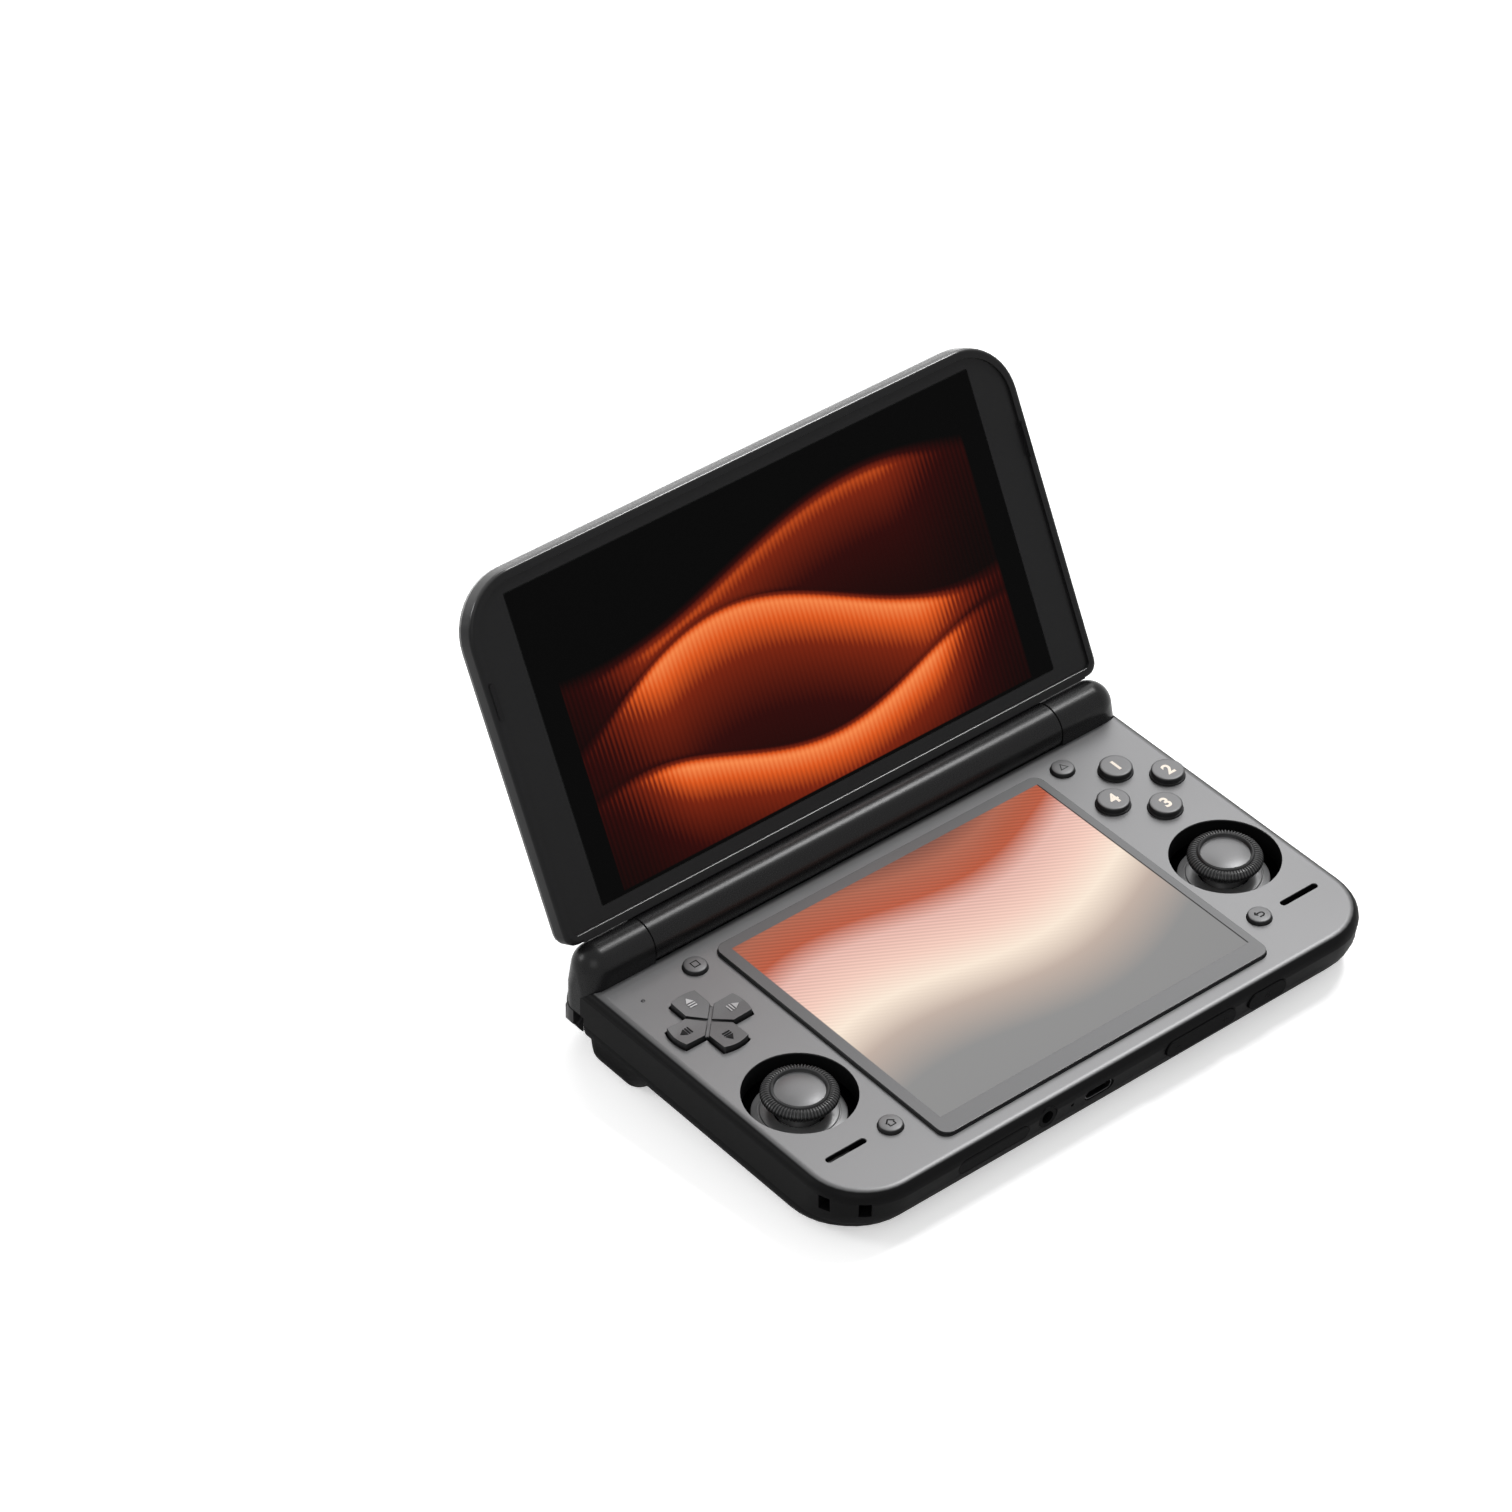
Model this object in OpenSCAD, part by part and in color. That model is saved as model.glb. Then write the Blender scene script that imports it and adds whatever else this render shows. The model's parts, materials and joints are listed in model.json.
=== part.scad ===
// Clamshell handheld game console with two screens.
// Most pieces are drawn in the deck's own axes: X to the right, Y to the back, Z up from the deck,
// with Y = 0 on the line through the two thumb sticks. Lid pieces are drawn in the lid's axes:
// Y up the lid from the hinge axis and Z out of its front. The console rests on two rear grips and
// two front feet, so the deck leans forward by a few degrees.

/* [Body] */
// Width of the body across its sides
body_w = 180.4; // [176:0.2:196]
// Distance from the stick line forward to the front face
front_reach = 42; // [41:0.5:50]
// Depth from the deck down to the flat underside
base_deep = 17.5; // [17:0.5:22]
// Wall of the base mouldings
wall = 1.8; // [1.4:0.1:2.2]
// Radius of the two front corners, seen from above
front_corner_r = 18; // [14:0.5:22]
// Radius of the two rear corners, seen from above
rear_corner_r = 5; // [4:0.5:8]
// Radius of the shoulders' front corners, seen from above
shoulder_corner_r = 4.5; // [3:0.5:5.5]
// Rounding of the deck's edge
deck_edge_r = 3; // [2:0.25:3.5]
// Rounding under the sides
side_curl_r = 5; // [3:0.5:8]
// Depth of the seam between deck shell and bottom cover
seam_deep = 11.5; // [11:0.25:13]
// How far the rear grips reach below the deck
grip_deep = 22.6; // [20:0.1:27]
// How far a foot stands out of the moulding
foot_proud = 0.8; // [0.5:0.1:1.5]

/* [Hinge] */
// Distance from the middle of the direction pad back to the hinge axis
hinge_back = 32.45; // [32:0.05:36]
// Height of the hinge axis over the deck
hinge_up = 3.2; // [3:0.1:4]
// Radius of the hinge barrel and shoulders
barrel_r = 6.3; // [6:0.1:6.6]
// Length of each fixed shoulder beside the lid's barrel
shoulder_w = 20.9; // [19:0.1:24]
// Gap between barrel ends and shoulders
barrel_gap = 0.3; // [0.2:0.05:0.5]
// Radius of the hinge pins
pin_r = 2.5; // [1.5:0.1:2.8]
// Running clearance round a pin
run_gap = 0.05; // [0.02:0.01:0.08]
// How far the lid stands open, from closed
open_deg = 117.5; // [100:0.5:150]

/* [Lid] */
// How far each side of the lid stands in from the side of the body
lid_in = 0.2; // [0.1:0.1:1]
// Distance from the hinge axis to the lid's far edge
lid_far = 104.1; // [103:0.1:112]
// Gap between the barrel and the lid's near edge
lid_gap = 0.4; // [0.3:0.1:1]
// How far the lid's back stands out behind the barrel
lid_behind = 2; // [1.7:0.1:3]
// Height of the lid's rim over the hinge axis
rim_up = 0.5; // [0.3:0.1:1]
// Depth of the upper glass below the rim
glass_sunk = 0.8; // [0.5:0.1:1.2]
// Width of the rim
rim_w = 2.5; // [2:0.1:3.5]
// Wall of the lid mouldings
lid_wall = 1.4; // [1:0.1:1.6]
// Radius of the lid's far corners
lid_corner_r = 16.5; // [12:0.5:20]
// Rounding of the lid's back edge
lid_edge_r = 4.2; // [3:0.1:4.4]

/* [Screens] */
// Bezel beside the upper window
upper_side = 13.55; // [12:0.05:16]
// Bezel over the upper window
upper_top = 5.8; // [5:0.1:8]
// Bezel under the upper window
upper_bottom = 6.3; // [5.5:0.1:8]
// Deck in front of the lower glass
lower_land = 6.9; // [6:0.1:8]
// Deck behind the lower glass, up to the hinge axis
lower_back = 11.7; // [11:0.1:14]
// How far the lower glass stands over the deck
lower_proud = 1.14; // [0.8:0.02:1.4]
// Thickness of the cover glasses
glass_t = 0.9; // [0.7:0.05:1.1]
// Thickness of the display panels
panel_t = 2.2; // [1.8:0.1:2.4]

/* [Controls] */
// Radius of the stick wells
well_r = 14.8; // [14:0.1:15.4]
// Deck between a stick well and the side of the body
well_out = 3.4; // [3:0.1:5]
// Deck between a stick well and the lower glass
well_in = 2.3; // [2:0.1:4]
// Radius of the knurled stick caps
cap_r = 10.1; // [9:0.1:10.4]
// Distance from the side of the body to the middle of the pad and of the face buttons
pad_in = 17.05; // [16.5:0.05:18]
// Distance from the stick line back to the middle of the pad and of the face buttons
pad_y = 33.75; // [33:0.05:38]
// Deck between the outermost face button and the side of the body
face_out = 2.73; // [2.6:0.01:3.5]
// Radius of the face buttons
face_r = 4.65; // [4.2:0.05:4.7]
// Radius of the small function buttons
function_r = 3.25; // [2.8:0.05:3.4]
// Clearance of a button in its hole
button_gap = 0.2; // [0.15:0.05:0.3]
// Outer radius of the direction pad
cross_r = 11.4; // [10.8:0.1:11.6]
// Half the width of a direction pad arm
cross_half = 4; // [3.6:0.1:4.2]

/* [Ports] */
// Radius of the headphone jack's bore
jack_r = 1.8; // [1.78:0.01:1.85]
// Length of the headphone jack's bore
jack_len = 14; // [12:0.5:15]
// Width of the USB opening
usb_w = 9.7; // [9.4:0.1:10.5]
// Height of the USB opening
usb_h = 3.6; // [3.5:0.1:4.2]
// Depth of the ports and keys below the deck
port_deep = 4.9; // [4.6:0.1:5.2]

/* [Hidden] */

$fn = 48;
thin = 0.02;
seat = 0.3;
half_w = body_w / 2;
hinge_y = pad_y + hinge_back;
pad_x = half_w - pad_in;
face_pitch = pad_in - face_out - face_r;
lower_w = body_w - 2 * (well_out + 2 * well_r + well_in);
lower_front = front_reach - lower_land;
lower_rear = hinge_y - lower_back;
stick_x = half_w - well_out - well_r;
lid_w = body_w - 2 * lid_in;
lid_near = barrel_r + lid_gap;
lid_back = barrel_r + lid_behind;
upper_w = lid_w - 2 * upper_side;
upper_start = lid_near + upper_bottom;
upper_h = lid_far - upper_start - upper_top;
barrel_w = body_w - 2 * (shoulder_w + barrel_gap);

// The rest pose: the plane through the four feet is level.
front_foot_y = 24 - front_reach;
rear_foot_y = hinge_y - 16.2;
foot_x = half_w - 12.2;
foot_sunk = 0.5;
front_foot_r = 4;
rear_foot_r = 3.5;
rear_contact = grip_deep + foot_proud;
front_contact = base_deep + foot_proud;
lean = atan2(rear_contact - front_contact, rear_foot_y - front_foot_y);
deck_up = rear_contact * cos(lean) - rear_foot_y * sin(lean);

// The lid's outermost point at rest, for the middle of the whole console
lid_deg = 180 - open_deg;
turn = lid_deg + lean;
hinge_reach = hinge_y * cos(lean) - hinge_up * sin(lean);
lid_round_y = (lid_far - lid_edge_r) * cos(turn) + (lid_back - lid_edge_r) * sin(turn);
rear_y = hinge_reach + lid_round_y + lid_edge_r;

// The keys in the front wall are the console's foremost point.
key_proud = 0.45;
key_h = 4.6;
front_y = -(front_reach + key_proud) * cos(lean) + (port_deep - key_h / 2) * sin(lean);
mid_y = (front_y + rear_y) / 2;

module on_deck()
{
    translate([0, -mid_y, deck_up]) rotate([lean, 0, 0]) children();
}

module on_lid()
{
    on_deck() translate([0, hinge_y, hinge_up]) rotate([lid_deg, 0, 0]) children();
}

module on_side(side)
{
    if (side < 0) mirror([1, 0, 0]) children();
    else children();
}

module both_sides()
{
    children();
    mirror([1, 0, 0]) children();
}

// How far a rounded edge of radius r draws in, past_edge beyond its start
function drawn_in(past_edge, r) = let(d = min(r, max(0, past_edge))) r - sqrt(r * r - d * d);

// ---- outer forms ------------------------------------------------------------------------------

front_curl_r = base_deep - deck_edge_r - 0.5;
rear_y_deck = hinge_y + barrel_r;
top_steps = [0, 0.08, 0.3, 0.62, 1];
low_steps = [0, 0.3, 0.5, 0.68, 0.82, 0.92, 0.98, 1];

// The base's whole body, drawn in by skin on every face
module base_body(skin)
{
    top_r = max(0.6, deck_edge_r - skin);
    curl_r = front_curl_r - skin;
    side_r = side_curl_r - skin;
    front_r = front_corner_r - skin;
    rear_r = rear_corner_r - skin;
    x = half_w - skin;
    front = -front_reach + skin;
    rear = rear_y_deck - skin;
    floor_z = -base_deep + skin;
    levels = concat(
        [for (s = top_steps) -skin - top_r * s - thin],
        [for (s = low_steps) floor_z + curl_r * (1 - s)]
    );
    hull() for (z = levels)
        let (
            top_in = drawn_in(top_r + z + skin + thin, top_r),
            front_in = top_in + drawn_in(curl_r + floor_z - z, curl_r),
            side_in = top_in + drawn_in(side_r + floor_z - z, side_r)
        )
            for (side = [-1, 1])
            {
                translate([side * (x - side_in - front_r + top_in), front + front_in + front_r - top_in, z])
                    cylinder(r = front_r - top_in, h = thin, $fn = 40);
                translate([side * (x - side_in - rear_r), rear - side_in - rear_r, z])
                    cylinder(r = rear_r, h = thin, $fn = 40);
            }
}

lid_seam = 4;
lid_front_r = 1.2;
lid_bottom_r = 3.5;
rim_steps = [0, 0.15, 0.5, 1];
back_steps = [0, 0.35, 0.6, 0.8, 0.94, 1];

// The lid's whole body, drawn in by skin on every face
module lid_body(skin)
{
    rim_r = max(0.4, lid_front_r - skin);
    edge_r = lid_edge_r - skin;
    bottom_r = lid_bottom_r - skin;
    far_r = lid_corner_r - skin;
    near_r = max(0.8, lid_bottom_r - skin);
    x = lid_w / 2 - skin;
    back = -lid_back + skin;
    levels = concat(
        [for (s = rim_steps) rim_up - skin - rim_r * s - thin],
        [for (s = back_steps) back + edge_r * (1 - s)]
    );
    hull() for (z = levels)
        let (
            rim_in = drawn_in(z - rim_up + skin + rim_r + thin, rim_r),
            edge_in = drawn_in(edge_r + back - z, edge_r),
            bottom_in = drawn_in(bottom_r + back - z, bottom_r),
            inset = rim_in + edge_in
        )
            for (side = [-1, 1])
            {
                translate([side * (x - inset - far_r + rim_in), lid_far - skin - inset - far_r + rim_in, z])
                    cylinder(r = far_r - rim_in, h = thin, $fn = 48);
                translate([side * (x - inset - near_r), lid_near + skin + rim_in + bottom_in + near_r, z])
                    cylinder(r = near_r, h = thin, $fn = 16);
            }
}

// A slab with rounded corners, from z0 up to z1
module slab(x0, x1, y0, y1, r, z0, z1)
{
    translate([0, 0, z0]) linear_extrude(z1 - z0)
    {
        translate([x0 + r, y0]) square([x1 - x0 - 2 * r, y1 - y0]);
        translate([x0, y0 + r]) square([x1 - x0, y1 - y0 - 2 * r]);
        for (x = [x0 + r, x1 - r], y = [y0 + r, y1 - r]) translate([x, y]) circle(r = r);
    }
}

// A bar with round ends lying along X in the front wall, from y0 back to y1
module wall_pill(x0, x1, h, y0, y1)
{
    r = h / 2;
    translate([0, y1, -port_deep]) rotate([90, 0, 0]) linear_extrude(y1 - y0)
    {
        translate([x0 + r, -r]) square([x1 - x0 - h, h]);
        for (x = [x0 + r, x1 - r]) translate([x, 0]) circle(r = r);
    }
}

// ---- shoulders, pockets and triggers ----------------------------------------------------------

shoulder_x = half_w - shoulder_w;
pocket_x = shoulder_x - 6;
pocket_y = hinge_y - 3.2;
bumper_h = 4.5;
bumper_proud = 0.6;
line_rear = 5.6;
line_side = 10;
line_gap = 0.4;

// Height line under the shoulder, seen from behind: level at the rear, lower round the corner
function under_line(drop) = [
    [0, -line_rear - drop],
    [half_w - 5.5, -line_rear - drop],
    [half_w - 3, -line_rear - 1 - drop],
    [half_w - 1, -line_side + 1 - drop],
    [half_w + 4, -line_side - drop]
];

// All that is lower than the line under the shoulder, right side
module below_line(drop)
{
    deep = 40;
    translate([0, rear_y_deck + 8, 0]) rotate([90, 0, 0]) linear_extrude(rear_y_deck)
        polygon(concat(under_line(drop), [[half_w + 4, -deep], [0, -deep]]));
}

// The room for bumper and trigger in the rear corner, right side
module trigger_pocket(grow)
{
    intersection()
    {
        below_line(-grow);
        translate([pocket_x - grow, pocket_y - grow, -40]) cube([60, 60, 60]);
    }
}

// The shoulder seen from above, with its rounded front corner, right side
module shoulder_plan()
{
    front = hinge_y - barrel_r;
    translate([shoulder_x, front]) square([shoulder_w - shoulder_corner_r, 40]);
    translate([shoulder_x, front + shoulder_corner_r]) square([40, 40]);
    translate([half_w - shoulder_corner_r, front + shoulder_corner_r])
        circle(r = shoulder_corner_r, $fn = 64);
}

module shoulder_block()
{
    translate([0, 0, -line_side - 1]) linear_extrude(line_side + 1 + barrel_r + hinge_up)
        shoulder_plan();
}

// A barrel with a ball end that flows down into the rounded rear corner, right side
module shoulder_form()
{
    end_x = half_w - barrel_r - 0.2;
    low = -line_side - 1;
    corner = [half_w - shoulder_corner_r, hinge_y - barrel_r + shoulder_corner_r];
    hull()
    {
        translate([shoulder_x, hinge_y, hinge_up]) rotate([0, 90, 0])
            cylinder(r = barrel_r, h = end_x - shoulder_x, $fn = 64);
        translate([end_x, hinge_y, hinge_up]) sphere(r = barrel_r, $fn = 48);
        translate([shoulder_x, hinge_y - barrel_r, low]) cube([1, 2 * barrel_r, 1]);
        translate([corner[0], corner[1], low])
            cylinder(r = shoulder_corner_r, h = line_side - 1, $fn = 64);
        translate([half_w - rear_corner_r, rear_y_deck - rear_corner_r, low])
            cylinder(r = rear_corner_r, h = line_side - 1, $fn = 64);
    }
}

module hinge_cap(side)
{
    color("#1b1b1d") on_deck() on_side(side) difference()
    {
        intersection()
        {
            shoulder_form();
            shoulder_block();
        }
        below_line(0);
        translate([shoulder_x - 1, hinge_y, hinge_up]) rotate([0, 90, 0])
            cylinder(r = pin_r, h = 9);
    }
}

module hinge_pins()
{
    color("#9a9da2") on_deck() both_sides()
        translate([barrel_w / 2 - 8, hinge_y, hinge_up]) rotate([0, 90, 0])
            cylinder(r = pin_r, h = 8 + barrel_gap + 8);
}

// Plan of the rear corner, right side, drawn in by skin, from the rear face round to side_end
module corner_plan(proud, side_end, skin, corner_r = rear_corner_r)
{
    r = corner_r - skin;
    x1 = half_w - skin;
    y1 = rear_y_deck + proud - skin;
    intersection()
    {
        union()
        {
            square([x1 - r, y1]);
            square([x1, y1 - r]);
            translate([x1 - r, y1 - r]) circle(r = r, $fn = 96);
        }
        translate([0, side_end]) square([half_w + 1, 100]);
    }
}

bumper_t = 3.2;
bumper_end_y = pocket_y + 4.2;
bumper_pin_x = pocket_x + 3;
bumper_pin_y = hinge_y + 0.6;
bumper_boss_r = 1.7;
small_pin_r = 0.8;

module bumper(side)
{
    color("#202022") on_deck() on_side(side) difference()
    {
        union()
        {
            difference()
            {
                translate([0, 0, -30]) linear_extrude(30) difference()
                {
                    corner_plan(bumper_proud, bumper_end_y, 0);
                    corner_plan(bumper_proud, 0, bumper_t);
                    square([pocket_x + 0.5, 100]);
                }
                below_line(line_gap + bumper_h);
            }
            translate([bumper_pin_x, bumper_pin_y, -line_rear - line_gap - bumper_h])
                cylinder(r = bumper_boss_r, h = bumper_h);
            translate([bumper_pin_x - 0.9, bumper_pin_y, -line_rear - line_gap - bumper_h])
                cube([1.8, rear_y_deck - 2 - bumper_pin_y, bumper_h]);
        }
        difference()
        {
            translate([0, 0, -30]) cube([200, 200, 60]);
            below_line(line_gap);
        }
        translate([bumper_pin_x, bumper_pin_y, -30])
            cylinder(r = small_pin_r + run_gap, h = 30);
    }
}

trigger_top = line_gap * 2 + bumper_h;
trigger_corner_r = 11;
trigger_mid_x = half_w - 11.9;
trigger_r = 12.4;
trigger_mid_deep = 9.4;
trigger_t = 2.8;
trigger_proud = 0.8;
trigger_hollow_r = 24;
trigger_hollow_deep = 11;
trigger_end_y = pocket_y + 3.5;
trigger_pin_y = hinge_y - 0.8;
trigger_pin_deep = 9;
trigger_boss_r = 2.1;
trigger_boss_w = 11.6;
trigger_boss_x = half_w - 14.2;

// Everything in front of the finger's hollow in the trigger's rear face
module before_hollow(skin)
{
    hollow_y = rear_y_deck + trigger_proud + trigger_hollow_r;
    difference()
    {
        translate([-1, 0, -40]) cube([120, rear_y_deck + 5 - skin, 60]);
        translate([-2, hollow_y, -trigger_hollow_deep]) rotate([0, 90, 0])
            cylinder(r = trigger_hollow_r + skin, h = 130, $fn = 128);
    }
}

// Outline of the trigger seen from behind
module trigger_outline()
{
    translate([0, rear_y_deck + 8, 0]) rotate([90, 0, 0]) linear_extrude(40) intersection()
    {
        union()
        {
            translate([trigger_mid_x, -trigger_mid_deep]) circle(r = trigger_r, $fn = 128);
            translate([trigger_mid_x - trigger_r, -trigger_mid_deep]) square([2 * trigger_r, 8]);
        }
        translate([0, -40]) square([half_w - 0.2, 60]);
    }
}

module trigger(side)
{
    color("#232325") on_deck() on_side(side) difference()
    {
        union()
        {
            intersection()
            {
                below_line(trigger_top);
                before_hollow(0);
                trigger_outline();
                translate([0, 0, -40]) linear_extrude(60)
                    corner_plan(5, trigger_end_y, 0, trigger_corner_r);
                difference()
                {
                    translate([0, 0, -60]) cube([200, 200, 100]);
                    intersection()
                    {
                        before_hollow(trigger_t);
                        translate([0, 0, -50]) linear_extrude(80)
                            corner_plan(5, 0, trigger_t, trigger_corner_r);
                    }
                }
            }
            translate([trigger_boss_x - trigger_boss_w / 2, trigger_pin_y, -trigger_pin_deep])
                rotate([0, 90, 0]) cylinder(r = trigger_boss_r, h = trigger_boss_w);
            translate([trigger_boss_x - 4, trigger_pin_y, -trigger_pin_deep - 4.6])
            {
                cube([8, 3, 4]);
                cube([8, rear_y_deck + trigger_proud - trigger_pin_y - 1, 2.6]);
            }
        }
        translate([0, trigger_pin_y, -trigger_pin_deep]) rotate([0, 90, 0])
            cylinder(r = small_pin_r + run_gap, h = 100);
    }
}

// Ears and pins that carry the triggers and bumpers, fixed to the pocket's front wall
module trigger_brackets()
{
    ear_t = 1.6;
    ear_x = trigger_boss_w / 2 + 0.3;
    color("#6d7075") on_deck() both_sides()
    {
        for (side = [-1, 1])
            translate([trigger_boss_x + side * (ear_x + ear_t / 2) - ear_t / 2, 0, 0])
            {
                translate([0, trigger_pin_y, -trigger_pin_deep]) rotate([0, 90, 0])
                    cylinder(r = 1.9, h = ear_t);
                translate([0, pocket_y, -trigger_pin_deep - 1.9])
                    cube([ear_t, trigger_pin_y - pocket_y, 3.8]);
            }
        translate([trigger_boss_x - ear_x, trigger_pin_y, -trigger_pin_deep]) rotate([0, 90, 0])
            cylinder(r = small_pin_r, h = 2 * ear_x);
        translate([bumper_pin_x, bumper_pin_y, -line_rear - line_gap - bumper_h - 1.9])
            cylinder(r = small_pin_r, h = bumper_h + line_gap + 1.9);
        translate([bumper_pin_x - 1.9, pocket_y, -line_rear - line_gap - bumper_h - 1.9])
            cube([3.8, bumper_pin_y + 1.6 - pocket_y, 1.5]);
    }
}

// ---- deck shell and bottom cover --------------------------------------------------------------

trough_r = barrel_r + 0.3;
lip_deep = 2.4;
well_wall = 1.2;
floor_deep = base_deep - wall;
pivot_deep = floor_deep - 5.7;
collar_deep = pivot_deep - 3.4;
well_deep = collar_deep - 0.3;
strap_deep = 5.3;
strap_w = 3.2;
strap_h = 4.4;
ledge = 1.2;
grip_r = 5;
grip_in = 5.2;
grip_start_y = hinge_y - 25.2;

// Along the front wall
jack_x = -26.9;
jack_deep = 4.2;
jack_ring_r = 3;
jack_sunk = 0.25;
mic_x = -18.6;
mic_r = 0.5;
usb_x = -9.65;
rocker_x0 = 12.7;
rocker_x1 = 36.5;
power_x0 = 41;
power_x1 = 54;
door_x0 = -56;
door_x1 = -33;
door_h = 4.5;
door_t = 0.9;
door_gap = 0.15;
card_w = 11.2;
card_t = 1;

// Heights of the boards, and places of the screws
io_deep = 6.9;
board_t = 1;
board_top = -6.2;
screw_x = lower_w / 2 - 2.9;
screw_places = [22 - front_reach, hinge_y - 26.2];
screw_r = 1;
screw_len = 7;
screw_head_t = 1.2;
screw_sunk = 0.4;
screw_boss_r = 3.2;
board_posts = [
    [lower_w / 2 + 7.1, hinge_y - 16.2],
    [half_w - 6.2, well_r + 9.2],
    [lower_w / 2 + 7.1, 15 - front_reach]
];
control_deep = 9.6;
function_front = [stick_x - 9.7, -well_r - 8.3];
function_rear = [lower_w / 2 + 7.6, hinge_y - 13.8];
slot_place = [stick_x + 4.5, -well_r - 8.1];
light_place = [9.4 - half_w, hinge_y - 15.45];

module display_opening(grow, z0, z1)
{
    slab(-lower_w / 2 - grow, lower_w / 2 + grow, -lower_front - grow, lower_rear + grow,
        3 + max(grow, -2.4), z0, z1);
}

module front_keys(grow, y0, y1)
{
    wall_pill(rocker_x0 - grow, rocker_x1 + grow, key_h + 2 * grow, y0, y1);
    wall_pill(power_x0 - grow, power_x1 + grow, key_h + 2 * grow, y0, y1);
}

module trough(r, half_len)
{
    translate([-half_len, hinge_y, hinge_up]) rotate([0, 90, 0]) cylinder(r = r, h = 2 * half_len);
}

module cross_plan(grow)
{
    intersection()
    {
        circle(r = cross_r + grow, $fn = 96);
        union()
        {
            square([2 * (cross_half + grow), 4 * cross_r], center = true);
            square([4 * cross_r, 2 * (cross_half + grow)], center = true);
        }
    }
}

face_places = [
    for (a = [90, 0, -90, 180])
        [pad_x + face_pitch * cos(a), pad_y + face_pitch * sin(a)]
];
function_places = [
    for (place = [function_rear, function_front], side = [-1, 1])
        [side * place[0], place[1]]
];

cross_gap = 0.45;
slot_w = 12.8;
slot_t = 2;
light_r = 0.6;

module deck_holes()
{
    for (side = [-1, 1])
        translate([side * stick_x, 0, -well_deep - 1]) cylinder(r = well_r, h = 12, $fn = 96);
    for (p = face_places)
        translate([p[0], p[1], -6]) cylinder(r = face_r + button_gap, h = 12);
    for (p = function_places)
        translate([p[0], p[1], -6]) cylinder(r = function_r + button_gap, h = 12);
    translate([-pad_x, pad_y, -6]) linear_extrude(12) cross_plan(cross_gap);
    for (side = [-1, 1]) translate([side * slot_place[0], slot_place[1], 0])
        slab(-slot_w / 2, slot_w / 2, -slot_t / 2, slot_t / 2, 0.49 * slot_t, -6, 6);
    translate([light_place[0], light_place[1], -6]) cylinder(r = light_r, h = 12);
    display_opening(seat, -ledge, 6);
    display_opening(-1.6, -6, 6);
}

module front_holes()
{
    outside = -front_reach - 5;
    inside = -front_reach + 6;
    front_keys(button_gap, outside, inside);
    wall_pill(usb_x - usb_w / 2, usb_x + usb_w / 2, usb_h, outside, inside);
    wall_pill(door_x0 - door_gap, door_x1 + door_gap, door_h + 2 * door_gap,
        outside, -front_reach + door_t + 0.1);
    translate([(door_x0 + door_x1) / 2, -front_reach, -port_deep])
        cube([card_w + 1, 10, card_t + 1], center = true);
    translate([jack_x, outside, -jack_deep]) rotate([-90, 0, 0]) cylinder(r = jack_ring_r + 0.05, h = 8);
    translate([mic_x, outside, -port_deep]) rotate([-90, 0, 0]) cylinder(r = mic_r, h = 12);
}

// Two holes in each front corner, joined behind the post that a wrist strap goes round
module strap_holes()
{
    strap_angles = [-18.5, -52.3];
    depth = 4.5;
    corner = [half_w - front_corner_r, -front_reach + front_corner_r];
    both_sides() translate([corner[0], corner[1], -strap_deep - strap_h / 2])
    {
        for (a = strap_angles) rotate([0, 0, a])
            translate([front_corner_r - depth, -strap_w / 2, 0]) cube([10, strap_w, strap_h]);
        rotate([0, 0, strap_angles[1]]) rotate_extrude(angle = strap_angles[0] - strap_angles[1], $fn = 64)
            translate([front_corner_r - depth, 0]) square([1.6, strap_h]);
    }
}

module deck_shell()
{
    color("#7d7e80") on_deck() difference()
    {
        intersection()
        {
            base_body(0);
            translate([-200, -200, -seam_deep]) cube([400, 400, 40]);
        }
        difference()
        {
            base_body(wall);
            trough(trough_r + wall, shoulder_x + wall);
            trigger_pocket(wall);
            mirror([1, 0, 0]) trigger_pocket(wall);
            both_sides() translate([shoulder_x - wall, hinge_y - barrel_r - wall, -line_side - 1])
                cube([40, 40, 40]);
            both_sides() translate([stick_x, 0, -well_deep])
                cylinder(r = well_r + well_wall, h = 12, $fn = 96);
            both_sides() translate([half_w - front_corner_r, -front_reach + front_corner_r, -seam_deep])
                intersection()
                {
                    difference()
                    {
                        cylinder(r = front_corner_r - 0.5, h = seam_deep);
                        translate([0, 0, -1]) cylinder(r = front_corner_r - 6, h = seam_deep + 2);
                    }
                    translate([0, -front_corner_r, 0]) cube([front_corner_r, front_corner_r, seam_deep]);
                }
        }
        trough(trough_r, shoulder_x);
        translate([-shoulder_x, hinge_y - 1, -lip_deep]) cube([2 * shoulder_x, 20, 10]);
        both_sides() difference()
        {
            shoulder_block();
            below_line(0);
        }
        both_sides() trigger_pocket(0);
        deck_holes();
        front_holes();
        strap_holes();
    }
}

// A rear grip: a smooth swelling under each rear corner, right side
module rear_grip()
{
    hull()
    {
        for (x = [half_w - grip_in - 14, half_w - grip_in], y = [rear_foot_y - 3, pocket_y - grip_r])
            translate([x, y, -grip_deep + grip_r]) sphere(r = grip_r, $fn = 32);
        for (x = [half_w - grip_in - 16, half_w - grip_in + 0.8])
            translate([x, grip_start_y, -base_deep + grip_r - 0.8]) sphere(r = grip_r - 1, $fn = 24);
        for (x = [half_w - grip_in - 14, half_w - 3.4])
            translate([x, pocket_y - 3, -seam_deep - 1]) cylinder(r = 3, h = 0.5, $fn = 24);
    }
}

// Both feet of a pair: level on the ground, and sunk a little into the moulding
module foot_pair(y, contact, r)
{
    both_sides() translate([foot_x, y, -contact]) rotate([-lean, 0, 0])
        cylinder(r = r, h = foot_proud + foot_sunk);
}

module all_feet()
{
    foot_pair(rear_foot_y, rear_contact, rear_foot_r);
    foot_pair(front_foot_y, front_contact, front_foot_r);
}

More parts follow.
